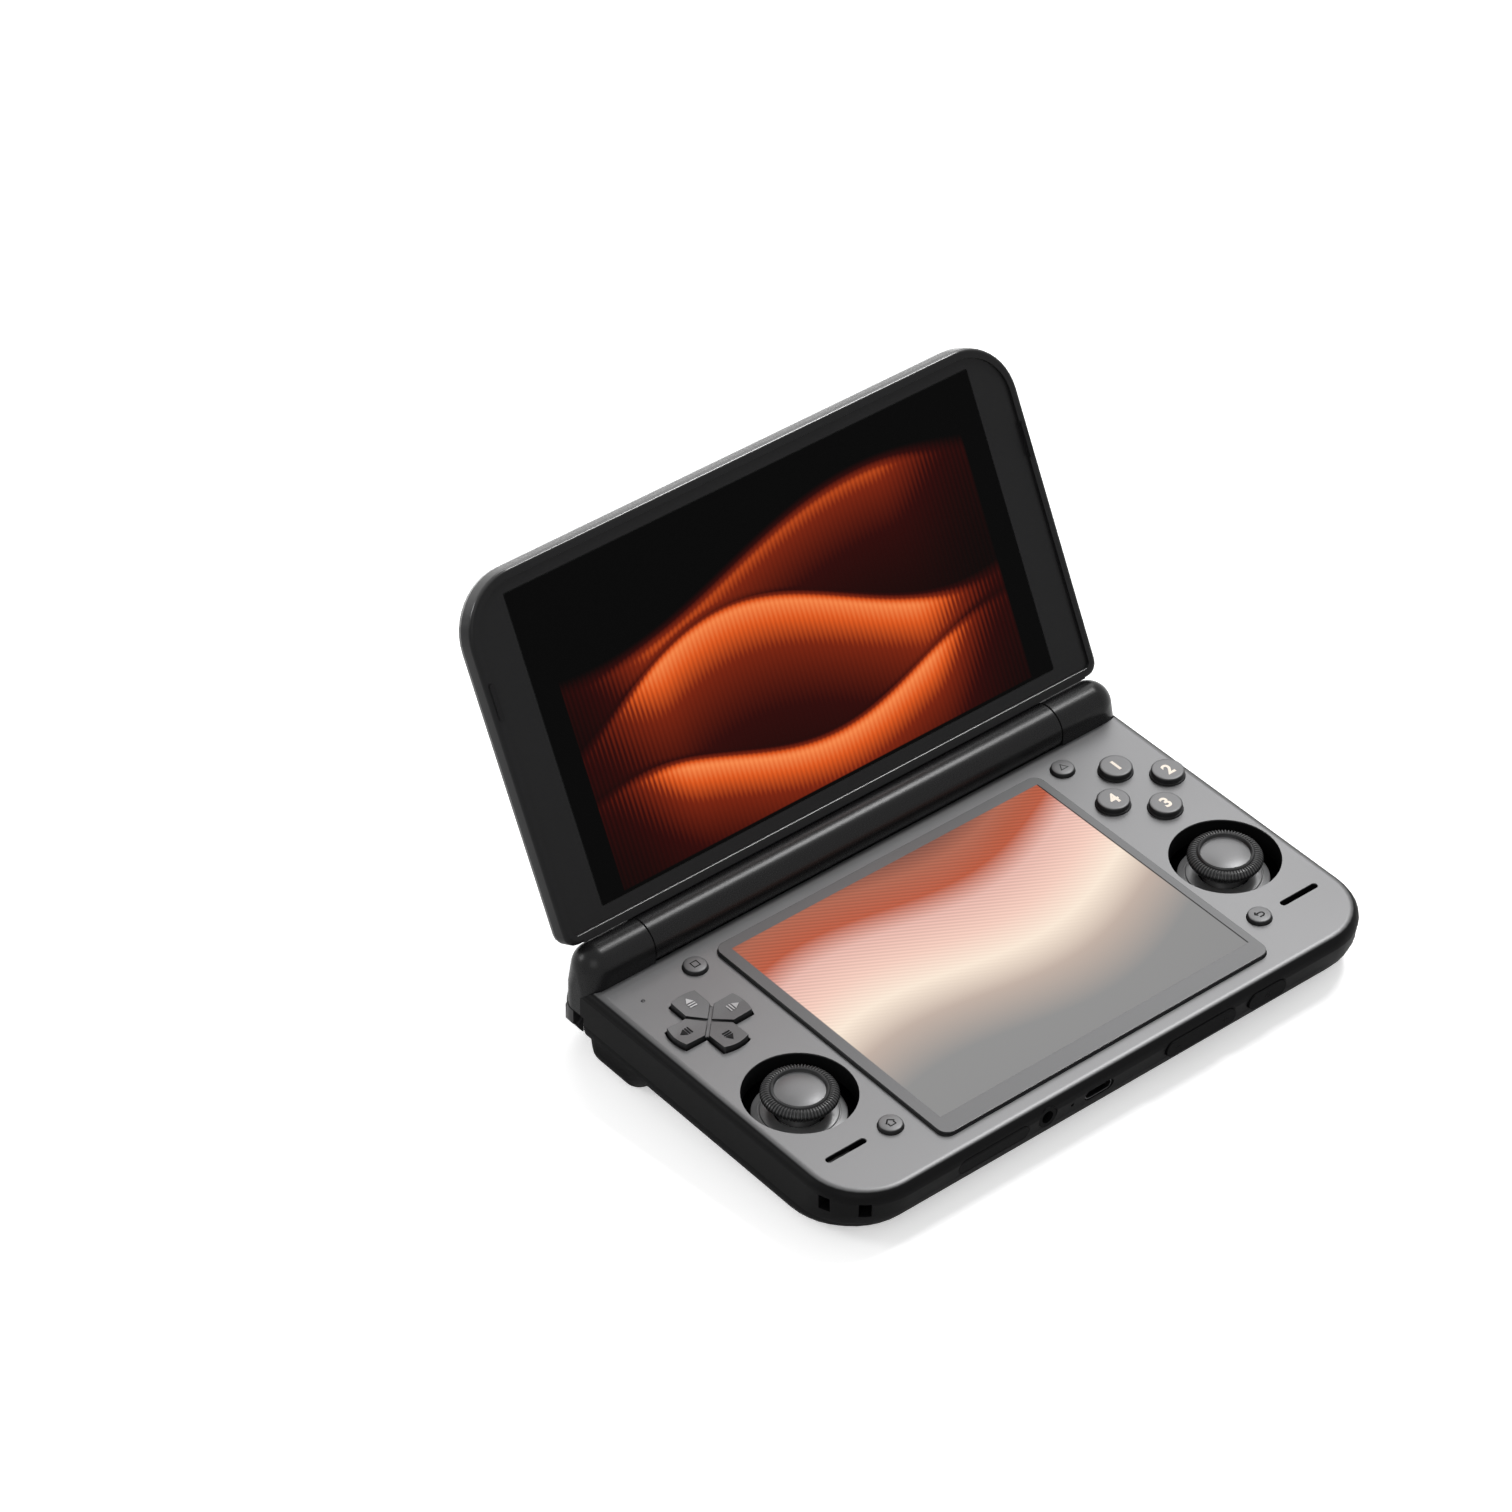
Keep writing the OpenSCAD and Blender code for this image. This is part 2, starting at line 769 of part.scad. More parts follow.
module vent_slots()
{
    for (row = [0:5])
        slab(-30, 30, 8 + row * 5, 9.6 + row * 5, 0.79, -30, 0);
}

module bottom_cover()
{
    color("#19191b") on_deck() difference()
    {
        union()
        {
            difference()
            {
                intersection()
                {
                    base_body(0);
                    translate([-200, -200, -seam_deep - 20]) cube([400, 400, 20]);
                }
                difference()
                {
                    base_body(wall);
                    both_sides() trigger_pocket(wall);
                    for (side = [-1, 1], y = screw_places)
                        translate([side * screw_x, y, -base_deep])
                            cylinder(r = screw_boss_r, h = base_deep + board_top - board_t);
                    for (side = [-1, 1], p = board_posts)
                        translate([side * p[0], p[1], -base_deep])
                            cylinder(r = 2, h = base_deep - control_deep - board_t);
                }
            }
            both_sides() intersection()
            {
                rear_grip();
                translate([0, 0, -60]) cube([200, 200, 60 - seam_deep]);
            }
        }
        both_sides() trigger_pocket(0);
        all_feet();
        vent_slots();
        for (side = [-1, 1], y = screw_places) translate([side * screw_x, y, -base_deep])
        {
            translate([0, 0, -1]) cylinder(r = 2 * screw_r + 0.1, h = screw_sunk + screw_head_t + 1);
            cylinder(r = screw_r + 0.05, h = base_deep);
        }
    }
}

module feet()
{
    color("#0c0c0d") on_deck() all_feet();
}

module base_screws()
{
    color("#55575b") on_deck() for (side = [-1, 1], y = screw_places)
        translate([side * screw_x, y, -base_deep + screw_sunk]) difference()
        {
            union()
            {
                cylinder(r = 2 * screw_r, h = screw_head_t);
                cylinder(r = screw_r, h = screw_len);
            }
            for (a = [0, 90]) rotate([0, 0, a]) cube([2.4 * screw_r, 0.5, screw_head_t], center = true);
        }
}

// ---- lower screen and inner pieces ------------------------------------------------------------

module lower_glass()
{
    color("#8c8f91") on_deck() display_opening(0, lower_proud - glass_t, lower_proud);
}

module lower_gasket()
{
    color("#141415") on_deck() difference()
    {
        display_opening(0, -ledge, lower_proud - glass_t);
        display_opening(-1.6, -6, 6);
    }
}

module lower_display()
{
    color("#3a3a3c") on_deck()
        display_opening(-1.8, lower_proud - glass_t - panel_t, lower_proud - glass_t);
}

frame_top = lower_proud - glass_t - panel_t;
frame_t = 0.8;

module mid_frame()
{
    color("#8f9296") on_deck() translate([0, 0, frame_top - frame_t]) difference()
    {
        slab(0.4 - lower_w / 2, lower_w / 2 - 0.4, 8.9 - lower_front, lower_rear + 1.5, 3, 0, frame_t);
        for (x = [-36:24:36], y = [-14, 12, 38]) translate([x, y, -1]) cylinder(r = 5, h = 3);
    }
}

// The main board, the port board at the front, and the four small boards under the controls
module main_board()
{
    color("#1d5a3a") on_deck()
    {
        slab(4.9 - lower_w / 2, lower_w / 2 - 4.9, -2, lower_rear - 0.5, 2, board_top - board_t, board_top);
        for (x = [-34, -16, 22]) translate([x, 34, board_top]) cube([10, 10, 1.1]);
        slab(-55, -4, 4 - front_reach, 15 - front_reach, 1.5, -io_deep - board_t, -io_deep);
        both_sides() translate([0, 0, -control_deep - board_t])
        {
            slab(lower_w / 2 + 2.1, half_w - 3.2, well_r + 4.2, hinge_y - 11.7, 2, 0, board_t);
            translate([function_front[0], function_front[1], 0]) slab(-5.7, 5.1, -7.9, 6.1, 1.5, 0, board_t);
        }
    }
}

module battery()
{
    color("#2d2f33") on_deck()
        slab(8.9 - lower_w / 2, lower_w / 2 - 8.9, 14.5 - front_reach, -4, 1.5,
            -floor_deep, 6.2 - floor_deep);
}

fan_x = lower_w / 2 - 26.9;
fan_y = hinge_y - 36.2;
fan_half = 17;
fan_h = floor_deep + board_top - board_t - 1.1;

module fan_housing()
{
    color("#303236") on_deck() translate([fan_x, fan_y, -floor_deep]) difference()
    {
        slab(-fan_half, fan_half, -fan_half, fan_half, 2, 0, fan_h);
        translate([0, 0, 0.8]) cylinder(r = fan_half - 2, h = fan_h - 1.6);
        translate([0, 0, 2]) cylinder(r = fan_half - 7, h = 10);
        translate([5 - fan_half, 5, 0.8]) cube([2 * fan_half - 10, 20, fan_h - 1.6]);
    }
}

module fan_rotor()
{
    blades = 11;
    color("#1a1b1d") on_deck() translate([fan_x, fan_y, -floor_deep + 1.8])
    {
        cylinder(r = 6, h = fan_h - 3.8);
        for (i = [0:blades - 1]) rotate([0, 0, i * 360 / blades])
            translate([5.5, -0.4, 0]) cube([fan_half - 8.7, 0.8, fan_h - 3.8]);
    }
}

module heat_sink()
{
    start_x = 16.9 - lower_w / 2;
    width = fan_x - fan_half - 3 - start_x;
    pitch = 3.8;
    base_t = 1.8;
    color("#b26a3c") on_deck() translate([start_x, fan_y - 16, board_top - board_t - base_t])
    {
        cube([width, 20, base_t]);
        for (x = [2:pitch:width - 2]) translate([x, 0, base_t - fan_h]) cube([1, 20, fan_h - base_t]);
    }
}

module speakers()
{
    color("#242528") on_deck() both_sides()
        slab(stick_x - 4, half_w - 9.2, 18 - front_reach, -11, 4, -floor_deep, -floor_deep + 4.5);
}

module usb_socket()
{
    color("#b9bcc0") on_deck() translate([usb_x, 0, -port_deep])
    {
        difference()
        {
            translate([0, 0, port_deep])
                wall_pill(-4.5, 4.5, 3.2, -front_reach + 0.7, -front_reach + 8);
            translate([0, 0, port_deep])
                wall_pill(-4.2, 4.2, 2.6, -front_reach - 1, -front_reach + 7);
        }
        translate([-3.3, -front_reach + 1.6, -0.35]) cube([6.6, 5.6, 0.7]);
        translate([-4, -front_reach + 4.5, port_deep - io_deep]) cube([8, 3.5, io_deep - port_deep - 1.5]);
    }
}

module audio_jack()
{
    color("#0e0e0f") on_deck() translate([jack_x, -front_reach, -jack_deep]) difference()
    {
        union()
        {
            translate([0, jack_sunk, 0]) rotate([-90, 0, 0]) cylinder(r = jack_ring_r, h = 2.4);
            translate([-jack_ring_r, 2.5, jack_deep - io_deep])
                cube([2 * jack_ring_r, jack_len + jack_sunk - 2.5, io_deep - 2.1]);
        }
        translate([0, -1, 0]) rotate([-90, 0, 0]) cylinder(r = jack_r, h = jack_len + 3);
    }
}

module card_reader()
{
    color("#9fa3a7") on_deck()
        translate([(door_x0 + door_x1) / 2, -front_reach + 2.6, -port_deep]) difference()
        {
            translate([-card_w / 2 - 2, 0, port_deep - io_deep])
                cube([card_w + 4, 12, io_deep - port_deep + card_t + 0.2]);
            translate([-card_w / 2, -1, -card_t / 2]) cube([card_w, 11, card_t]);
        }
}

module card_door()
{
    color("#1c1c1e") on_deck() intersection()
    {
        base_body(0);
        wall_pill(door_x0, door_x1, door_h, -front_reach - 2, -front_reach + door_t);
    }
}

key_slack = 1.1;
key_flange_t = 0.6;
key_back = -front_reach + wall + key_slack;
key_travel = 0.5;
switch_y = key_back + key_flange_t + key_travel + 0.1;
switch_t = 2;

// A small board across behind the keys, hung from the deck, with one switch for each press point
module side_switches()
{
    low = -port_deep - 2.6;
    color("#c9cbce") on_deck()
    {
        translate([rocker_x0 - 1.5, switch_y + switch_t, low])
            cube([power_x1 - rocker_x0 + 2.5, 1, -wall - low]);
        for (x = [rocker_x0 + 4.8, rocker_x1 - 4.8, (power_x0 + power_x1) / 2])
            translate([x - 1.8, switch_y, -port_deep - 1.5]) cube([3.6, switch_t + 0.2, 3]);
    }
}

// A key with a flange that keeps it behind the wall
module front_key(x0, x1)
{
    wall_pill(x0, x1, key_h, -front_reach - key_proud, key_back + 0.1);
    wall_pill(x0 - 0.5, x1 + 0.5, key_h + 0.6, key_back, key_back + key_flange_t);
}

module volume_rocker()
{
    color("#1e1e20") on_deck() front_key(rocker_x0, rocker_x1);
}

module power_button()
{
    color("#1e1e20") on_deck() front_key(power_x0, power_x1);
}

face_deep = 3.4;
function_deep = 3.1;
face_top = 2;
face_travel = 1;
function_top = 1.2;
function_travel = 0.6;

// Rubber dome mats under the buttons
module dome_mats()
{
    pad_dome_r = 8.4;
    face_dome_top = -face_deep - face_travel - 0.2;
    function_dome_top = -function_deep - function_travel - 0.2;
    color("#8e9194") on_deck()
    {
        for (p = face_places) translate([p[0], p[1], -control_deep])
            cylinder(r = 3, h = control_deep + face_dome_top);
        for (p = function_places) translate([p[0], p[1], -control_deep])
            cylinder(r = 1.8, h = control_deep + function_dome_top);
        for (a = [0:90:270])
            translate([-pad_x + pad_dome_r * cos(a), pad_y + pad_dome_r * sin(a), -control_deep])
                cylinder(r = 2.2, h = control_deep + face_dome_top);
    }
}

// ---- sticks -----------------------------------------------------------------------------------

journal_r = 0.8;

module stick_housings()
{
    color("#2a2b2e") on_deck() both_sides() translate([stick_x, 0, 0]) difference()
    {
        translate([-8.7, -8.7, -floor_deep]) cube([17.4, 17.4, floor_deep - collar_deep]);
        translate([-7.7, -7.7, 1.1 - floor_deep]) cube([15.4, 15.4, 7.2]);
        translate([0, 0, -pivot_deep]) cylinder(r = 7.3, h = 10);
    }
}

module stick_collars()
{
    color("#57595c") on_deck() both_sides() translate([stick_x, 0, -collar_deep]) rotate_extrude($fn = 72)
        polygon([[6.9, 0], [6.9, 1.3], [8.2, 1.35], [9.9, 0.95], [10, 0.65], [10.35, 0.55],
            [10.45, 0.8], [12, 0.35], [12.2, 0]]);
}

module click_frame(side)
{
    color("#d7d9db") on_deck() translate([side * stick_x, 0, -pivot_deep])
    {
        translate([-7.2, -7.2, -3.6]) cube([14.4, 14.4, 1]);
        for (end = [-1, 1]) difference()
        {
            translate([end * 6.7 - 0.5, -2, -2.6]) cube([1, 4, 4]);
            translate([end * 6.7 - 2, 0, 0]) rotate([0, 90, 0]) cylinder(r = journal_r + run_gap, h = 4);
        }
    }
}

module gimbal_ring(side)
{
    color("#e4e5e6") on_deck() translate([side * stick_x, 0, -pivot_deep])
    {
        difference()
        {
            translate([0, 0, -1.2]) cylinder(r = 5.1, h = 2.4);
            translate([0, 0, -3]) cylinder(r = 3.6, h = 6);
            translate([0, 7, 0]) rotate([90, 0, 0]) cylinder(r = journal_r + run_gap, h = 14);
        }
        for (start = [4.9, -7.1]) translate([start, 0, 0]) rotate([0, 90, 0])
            cylinder(r = journal_r, h = 2.2);
    }
}

module stick_stem(side)
{
    color("#b8babd") on_deck() translate([side * stick_x, 0, -pivot_deep])
    {
        translate([0, 0, -1.2]) cylinder(r = 1.5, h = pivot_deep - 0.4);
        translate([0, 5.2, 0]) rotate([90, 0, 0]) cylinder(r = journal_r, h = 10.4);
    }
}

cap_top = 1.95;
dust_r = 7.5;
dust_t = 0.8;
dust_start = 34;
dust_end = 57;

function dust_arc(r, from, to) =
    [for (s = [0:4]) let (a = from + (to - from) * s / 4) [r * sin(a), r * cos(a) - pivot_deep]];

module stick_cap(side)
{
    inner_r = cap_r - 3;
    color("#232426") on_deck() translate([side * stick_x, 0, 0]) difference()
    {
        rotate_extrude($fn = 72) polygon(concat([
            [0, cap_top - 1.2], [3, cap_top - 1.1], [inner_r - 0.7, cap_top - 0.5],
            [inner_r - 0.4, cap_top], [inner_r, cap_top + 0.1], [inner_r + 0.35, cap_top - 0.45],
            [cap_r - 1.6, cap_top - 0.3], [cap_r - 0.6, cap_top - 0.9], [cap_r, cap_top - 2],
            [cap_r - 0.6, cap_top - 3.2], [cap_r - 1.6, -1.7], [5, -1.9], [4.2, -2.6]],
            dust_arc(dust_r, dust_start, dust_end), dust_arc(dust_r - dust_t, dust_end, dust_start),
            [[0, -4.6]]));
        translate([0, 0, -6]) cylinder(r = 1.5, h = 4.4);
    }
}

// ---- direction pad, face and function buttons -------------------------------------------------

spider_deep = 5.4;

module pad_post()
{
    color("#35373a") on_deck() translate([-pad_x, pad_y, 0])
    {
        translate([-4.6, -4.6, -control_deep]) cube([9.2, 9.2, 1]);
        for (end = [-1, 1]) difference()
        {
            translate([end * 3.4 - 0.7, -1.4, 1 - control_deep]) cube([1.4, 2.8, control_deep - 5.1]);
            translate([end * 3.4 - 2, 0, -spider_deep]) rotate([0, 90, 0])
                cylinder(r = journal_r + run_gap, h = 4);
        }
    }
}

module pad_spider()
{
    color("#c4c6c9") on_deck() translate([-pad_x, pad_y, -spider_deep]) for (a = [0, 90]) rotate([0, 0, a])
        translate([-4, 0, 0]) rotate([0, 90, 0]) cylinder(r = journal_r, h = 8);
}

cross_top = 1.8;

module direction_pad()
{
    color("#202123") on_deck() translate([-pad_x, pad_y, 0])
    {
        difference()
        {
            union()
            {
                translate([0, 0, -2.9]) linear_extrude(2.9 + cross_top - 0.5) cross_plan(0);
                translate([0, 0, cross_top - 0.5]) linear_extrude(0.5) cross_plan(-0.5);
                translate([0, 0, -3.4]) cylinder(r = cross_r + 0.7, h = 0.5);
            }
            for (a = [45, 135]) rotate([0, 0, a])
                translate([-20, -0.8, cross_top - 0.7]) cube([40, 1.6, 2]);
        }
        for (end = [-1, 1]) difference()
        {
            translate([-1.4, end * 3.4 - 0.7, -spider_deep - 1.4]) cube([2.8, 1.4, spider_deep - 2]);
            translate([0, end * 3.4 + 2, -spider_deep]) rotate([90, 0, 0])
                cylinder(r = journal_r + run_gap, h = 4);
        }
    }
}

module round_button(r, top, deep, flange_r)
{
    flange_t = 0.8;
    rotate_extrude() polygon([
        [0, -deep], [flange_r, -deep], [flange_r, flange_t - deep], [r, flange_t - deep],
        [r, top - 0.6], [r - 0.15, top - 0.2], [r - 0.45, top], [0, top]
    ]);
}

module face_button(index)
{
    p = face_places[index];
    color("#26272a") on_deck() translate([p[0], p[1], 0]) round_button(face_r, face_top, face_deep, face_r + 0.6);
}

module function_button(index)
{
    p = function_places[index];
    color("#26272a") on_deck() translate([p[0], p[1], 0])
        round_button(function_r, function_top, function_deep, function_r + 0.8);
}

module light_pipe()
{
    color("#dfe3e6") on_deck() translate([light_place[0], light_place[1], -5])
        cylinder(r = light_r, h = 4.9);
}

// ---- lid --------------------------------------------------------------------------------------

glass_top = rim_up - glass_sunk;
bezel_t = 1;
recess_corner_r = 1.5;
near_lip_in = 0.05;
near_lip_w = lid_w - 2 * (lid_bottom_r + 1.5);
inner_top = glass_top - bezel_t;
tongue_deep = 5.2;
cover_far = lid_near + 10.8;
cover_w = barrel_w - 1;
cover_near = lid_near + 4.2;

module window_slab(grow, z0, z1)
{
    slab(-upper_w / 2 - grow, upper_w / 2 + grow, upper_start - grow, upper_start + upper_h + grow,
        0.6, z0, z1);
}

module lid_cavity()
{
    intersection()
    {
        lid_body(lid_wall);
        translate([-200, -200, -lid_back - 1]) cube([400, 400, lid_back + 1 + inner_top]);
    }
}

module cover_recess()
{
    translate([-cover_w / 2, 0, -lid_back - 1]) cube([cover_w, cover_far, 2]);
    translate([-cover_w / 2, 0, -lid_back - 1]) cube([cover_w, cover_near, lid_back + 1 - tongue_deep]);
}

module lid_frame()
{
    color("#2a2a2c") on_lid() difference()
    {
        union()
        {
            difference()
            {
                intersection()
                {
                    lid_body(0);
                    translate([-200, 0, -lid_seam]) cube([400, 200, 20]);
                }
                slab(-lid_w / 2 + rim_w, lid_w / 2 - rim_w, lid_near + rim_w, lid_far - rim_w,
                    lid_corner_r - rim_w, glass_top, 10);
                slab(-lid_w / 2 + rim_w, lid_w / 2 - rim_w, lid_near + rim_w, lid_far / 2,
                    recess_corner_r, glass_top, 10);
                lid_cavity();
            }
            translate([-barrel_w / 2, 0, -lid_seam]) cube([barrel_w, lid_near + 1, lid_seam - 0.6]);
            translate([-near_lip_w / 2, lid_near + near_lip_in, inner_top + 0.1])
                cube([near_lip_w, rim_w - near_lip_in - 0.4, rim_up - inner_top - 0.15]);
        }
        translate([-100, 0, 0]) rotate([0, 90, 0]) cylinder(r = barrel_r, h = 200);
        window_slab(0.1, -3, 10);
    }
}

module lid_back_cover()
{
    color("#141416") on_lid() difference()
    {
        intersection()
        {
            lid_body(0);
            translate([-200, 0, -lid_back - 2]) cube([400, 200, lid_back + 2 - lid_seam]);
        }
        lid_cavity();
        cover_recess();
    }
}

module upper_glass()
{
    color("#050506") on_lid() window_slab(0, glass_top - bezel_t, glass_top);
}

module upper_display()
{
    color("#30140a") on_lid() window_slab(1, inner_top - panel_t, inner_top);
}

bush_r = pin_r + 1.1;

module hinge_barrel()
{
    color("#1b1b1d") on_lid() difference()
    {
        translate([-barrel_w / 2, 0, 0]) rotate([0, 90, 0]) cylinder(r = barrel_r, h = barrel_w, $fn = 96);
        translate([-barrel_w / 2 - 1, 0, 0]) rotate([0, 90, 0]) cylinder(r = bush_r, h = barrel_w + 2);
    }
}

module hinge_bushes()
{
    color("#8b8e93") on_lid() both_sides()
        translate([barrel_w / 2 - 10, 0, 0]) rotate([0, 90, 0]) difference()
        {
            cylinder(r = bush_r, h = 10);
            translate([0, 0, -1]) cylinder(r = pin_r + run_gap, h = 12);
        }
}

module hinge_cover()
{
    color("#101012") on_lid() intersection()
    {
        lid_body(0);
        translate([-cover_w / 2 + 0.1, 0, -lid_back])
        {
            cube([cover_w - 0.2, cover_far - 0.1, 0.99]);
            cube([cover_w - 0.2, cover_near - 0.1, lid_back - tongue_deep - 0.1]);
        }
    }
}

module lid_pads()
{
    color("#0f0f10") on_lid() both_sides()
        slab(lid_w / 2 - rim_w, lid_w / 2 - lid_front_r, lid_far - 35.1, lid_far - 25.1,
            0.6, rim_up, rim_up + 0.6);
}

// ---- assembly ---------------------------------------------------------------------------------

deck_shell();
bottom_cover();
hinge_cap(-1);  // left_hinge_cap
hinge_cap(1);  // right_hinge_cap
hinge_pins();
lower_glass();
lower_gasket();
lower_display();
mid_frame();
main_board();
battery();
fan_housing();
fan_rotor();
heat_sink();
speakers();
usb_socket();
audio_jack();
card_reader();
card_door();
side_switches();
volume_rocker();
power_button();
dome_mats();
stick_housings();
stick_collars();
click_frame(-1);  // left_click_frame
click_frame(1);  // right_click_frame
gimbal_ring(-1);  // left_gimbal_ring
gimbal_ring(1);  // right_gimbal_ring
stick_stem(-1);  // left_stick_stem
stick_stem(1);  // right_stick_stem
stick_cap(-1);  // left_stick_cap
stick_cap(1);  // right_stick_cap
face_button(0);  // face_button_back
face_button(1);  // face_button_right
face_button(2);  // face_button_front
face_button(3);  // face_button_left
pad_post();
pad_spider();
direction_pad();
function_button(0);  // square_button
function_button(1);  // triangle_button
function_button(2);  // house_button
function_button(3);  // return_button
trigger_brackets();
bumper(-1);  // left_bumper
bumper(1);  // right_bumper
trigger(-1);  // left_trigger
trigger(1);  // right_trigger
light_pipe();
feet();
base_screws();
lid_frame();
lid_back_cover();
upper_glass();
upper_display();
hinge_barrel();
hinge_bushes();
hinge_cover();
lid_pads();
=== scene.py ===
import json
import math

import bpy
from mathutils import Matrix, Vector


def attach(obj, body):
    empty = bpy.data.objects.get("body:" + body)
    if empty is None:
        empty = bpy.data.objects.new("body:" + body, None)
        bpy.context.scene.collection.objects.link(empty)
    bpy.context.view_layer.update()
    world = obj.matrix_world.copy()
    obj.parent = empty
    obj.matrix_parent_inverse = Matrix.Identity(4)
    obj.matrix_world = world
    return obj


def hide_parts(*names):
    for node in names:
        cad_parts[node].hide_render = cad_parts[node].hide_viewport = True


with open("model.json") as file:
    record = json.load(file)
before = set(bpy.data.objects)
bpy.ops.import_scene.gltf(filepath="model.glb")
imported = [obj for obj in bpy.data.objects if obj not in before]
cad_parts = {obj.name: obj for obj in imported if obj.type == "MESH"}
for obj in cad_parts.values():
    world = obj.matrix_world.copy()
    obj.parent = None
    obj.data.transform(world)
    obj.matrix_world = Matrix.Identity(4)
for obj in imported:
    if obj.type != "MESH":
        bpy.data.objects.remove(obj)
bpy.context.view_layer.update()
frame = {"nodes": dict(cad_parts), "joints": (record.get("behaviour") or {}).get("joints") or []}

# ---- Deck axes -------------------------------------------------------------------------------
# The console leans forward on its feet, so everything on the base is placed in the deck's own
# axes, in millimetres: X to the right, Y to the back from the line of the sticks, Z up.
joints = {joint["name"]: joint for joint in frame["joints"]}
stick_pivot_deep = 0.010
deck_back = Vector(joints["power_press"]["axis"])
deck_up = -Vector(joints["house_button_press"]["axis"])
pivots = [Vector(joints[side + "_stick_pitch"]["pos_m"]) for side in ("left", "right")]
deck = Matrix((Vector((1, 0, 0)), deck_back, deck_up)).transposed().to_4x4()
deck.translation = (pivots[0] + pivots[1]) / 2 + deck_up * stick_pivot_deep
millimetres = Matrix.Scale(0.001, 4)
deck_mm = deck @ millimetres

# ---- Camera ----------------------------------------------------------------------------------
# A long lens that looks down over the front left corner. Its place, in metres, and its angles
# are given in the deck's axes.
camera_place = Vector((-0.792684, -0.826276, 1.010580))
heading = math.radians(40.4457)
downward = math.radians(39.4772)
roll = math.radians(1.1096)
ahead = Vector((math.sin(heading) * math.cos(downward), math.cos(heading) * math.cos(downward),
                -math.sin(downward)))
level_right = ahead.cross(Vector((0, 0, 1))).normalized()
level_up = level_right.cross(ahead)
to_right = level_right * math.cos(roll) + level_up * math.sin(roll)
lens = bpy.data.cameras.new("camera")
lens.sensor_width = 36
lens.lens = 143.464
camera = bpy.data.objects.new("camera", lens)
bpy.context.scene.collection.objects.link(camera)
stand = Matrix((to_right, to_right.cross(ahead), -ahead)).transposed().to_4x4()
stand.translation = camera_place
camera.matrix_world = deck @ stand
bpy.context.scene.camera = camera
bpy.context.scene.view_settings.view_transform = "Standard"

# ---- Floor and studio light ------------------------------------------------------------------
# A pale paper floor under a white room, a small bright box high at the right that draws a line
# of light along every rounded edge, a large one behind for the deck, and weaker ones at the left
# for the left edge and in front.


class Tone:
    """A value or colour on its way through a material's nodes. Arithmetic adds Math nodes."""

    def __init__(self, tree, socket=None):
        self.tree = tree
        self.socket = socket

    def node(self, kind, inputs=(), out=0, stops=(), **settings):
        """Adds a node: its settings and stops first, then the values or links of its inputs."""
        made = self.tree.nodes.new("ShaderNode" + kind)
        for setting, value in settings.items():
            setattr(made, setting, value)
        for number, (place, colour) in enumerate(stops):
            marks = made.color_ramp.elements
            mark = marks[number] if number < len(marks) else marks.new(place)
            mark.position = place
            mark.color = (*colour, 1)
        for key, value in dict(inputs).items():
            if isinstance(value, Tone):
                self.tree.links.new(value.socket, made.inputs[key])
            else:
                made.inputs[key].default_value = value
        return Tone(self.tree, made.outputs[out])

    def math(self, operation, *others):
        """A Math node whose first value is this one."""
        return self.node("Math", enumerate((self, *others)), operation=operation)

    def rise(self, low, high, kind="SMOOTHSTEP"):
        """Goes from 0 at low to 1 at high."""
        return self.node("MapRange", {0: self, 1: low, 2: high}, interpolation_type=kind)

    def part(self, axis):
        """The X, Y or Z of a point."""
        return self.node("SeparateXYZ", {0: self}, out="XYZ".index(axis))

    def __add__(self, other):
        return self.math("ADD", other)

    def __sub__(self, other):
        return self.math("SUBTRACT", other)

    def __rsub__(self, other):
        return self.node("Math", {0: other, 1: self}, operation="SUBTRACT")

    def __mul__(self, other):
        return self.math("MULTIPLY", other)

    def __truediv__(self, other):
        return self.math("DIVIDE", other)


def material(name, **fixed):
    """A new material, with what is the same all over set on the shader's own sockets."""
    made = bpy.data.materials.new(name)
    made.use_nodes = True
    shader = made.node_tree.nodes["Principled BSDF"]
    for socket, value in fixed.items():
        shader.inputs[socket.replace("_", " ")].default_value = value
    return made, Tone(made.node_tree)


def feed(made, **tones):
    """Links what varies over the surface to the shader's sockets."""
    shader = made.node_tree.nodes["Principled BSDF"]
    for socket, tone in tones.items():
        made.node_tree.links.new(tone.socket, shader.inputs[socket.replace("_", " ")])


def hold(piece):
    """Leaves only this piece selected and active."""
    bpy.ops.object.select_all(action="DESELECT")
    piece.select_set(True)
    bpy.context.view_layer.objects.active = piece


floor_side = 8
paper_glow = 0.45
bpy.ops.object.select_all(action="DESELECT")
bpy.ops.mesh.primitive_plane_add(size=floor_side)
floor = bpy.context.object
floor.name = "floor"
paper, tone = material("floor_paper", Base_Color=(0.9, 0.9, 0.9, 1), Roughness=0.9,
                       Emission_Color=(1, 1, 1, 1))
feed(paper, Emission_Strength=tone.node("LightPath", out="Is Camera Ray") * paper_glow)
floor.data.materials.append(paper)

room = bpy.data.worlds.new("room")
room.use_nodes = True
bpy.context.scene.world = room
tone = Tone(room.node_tree)
seen = tone.node("LightPath", out="Is Camera Ray")
for ray in ("Is Glossy Ray", "Is Transmission Ray"):
    seen = seen.math("MAXIMUM", tone.node("LightPath", out=ray))
fill_level = 0.5
strength = seen * (1 - fill_level) + fill_level
background = room.node_tree.nodes["Background"]
background.inputs["Color"].default_value = (1, 1, 1, 1)
room.node_tree.links.new(strength.socket, background.inputs["Strength"])


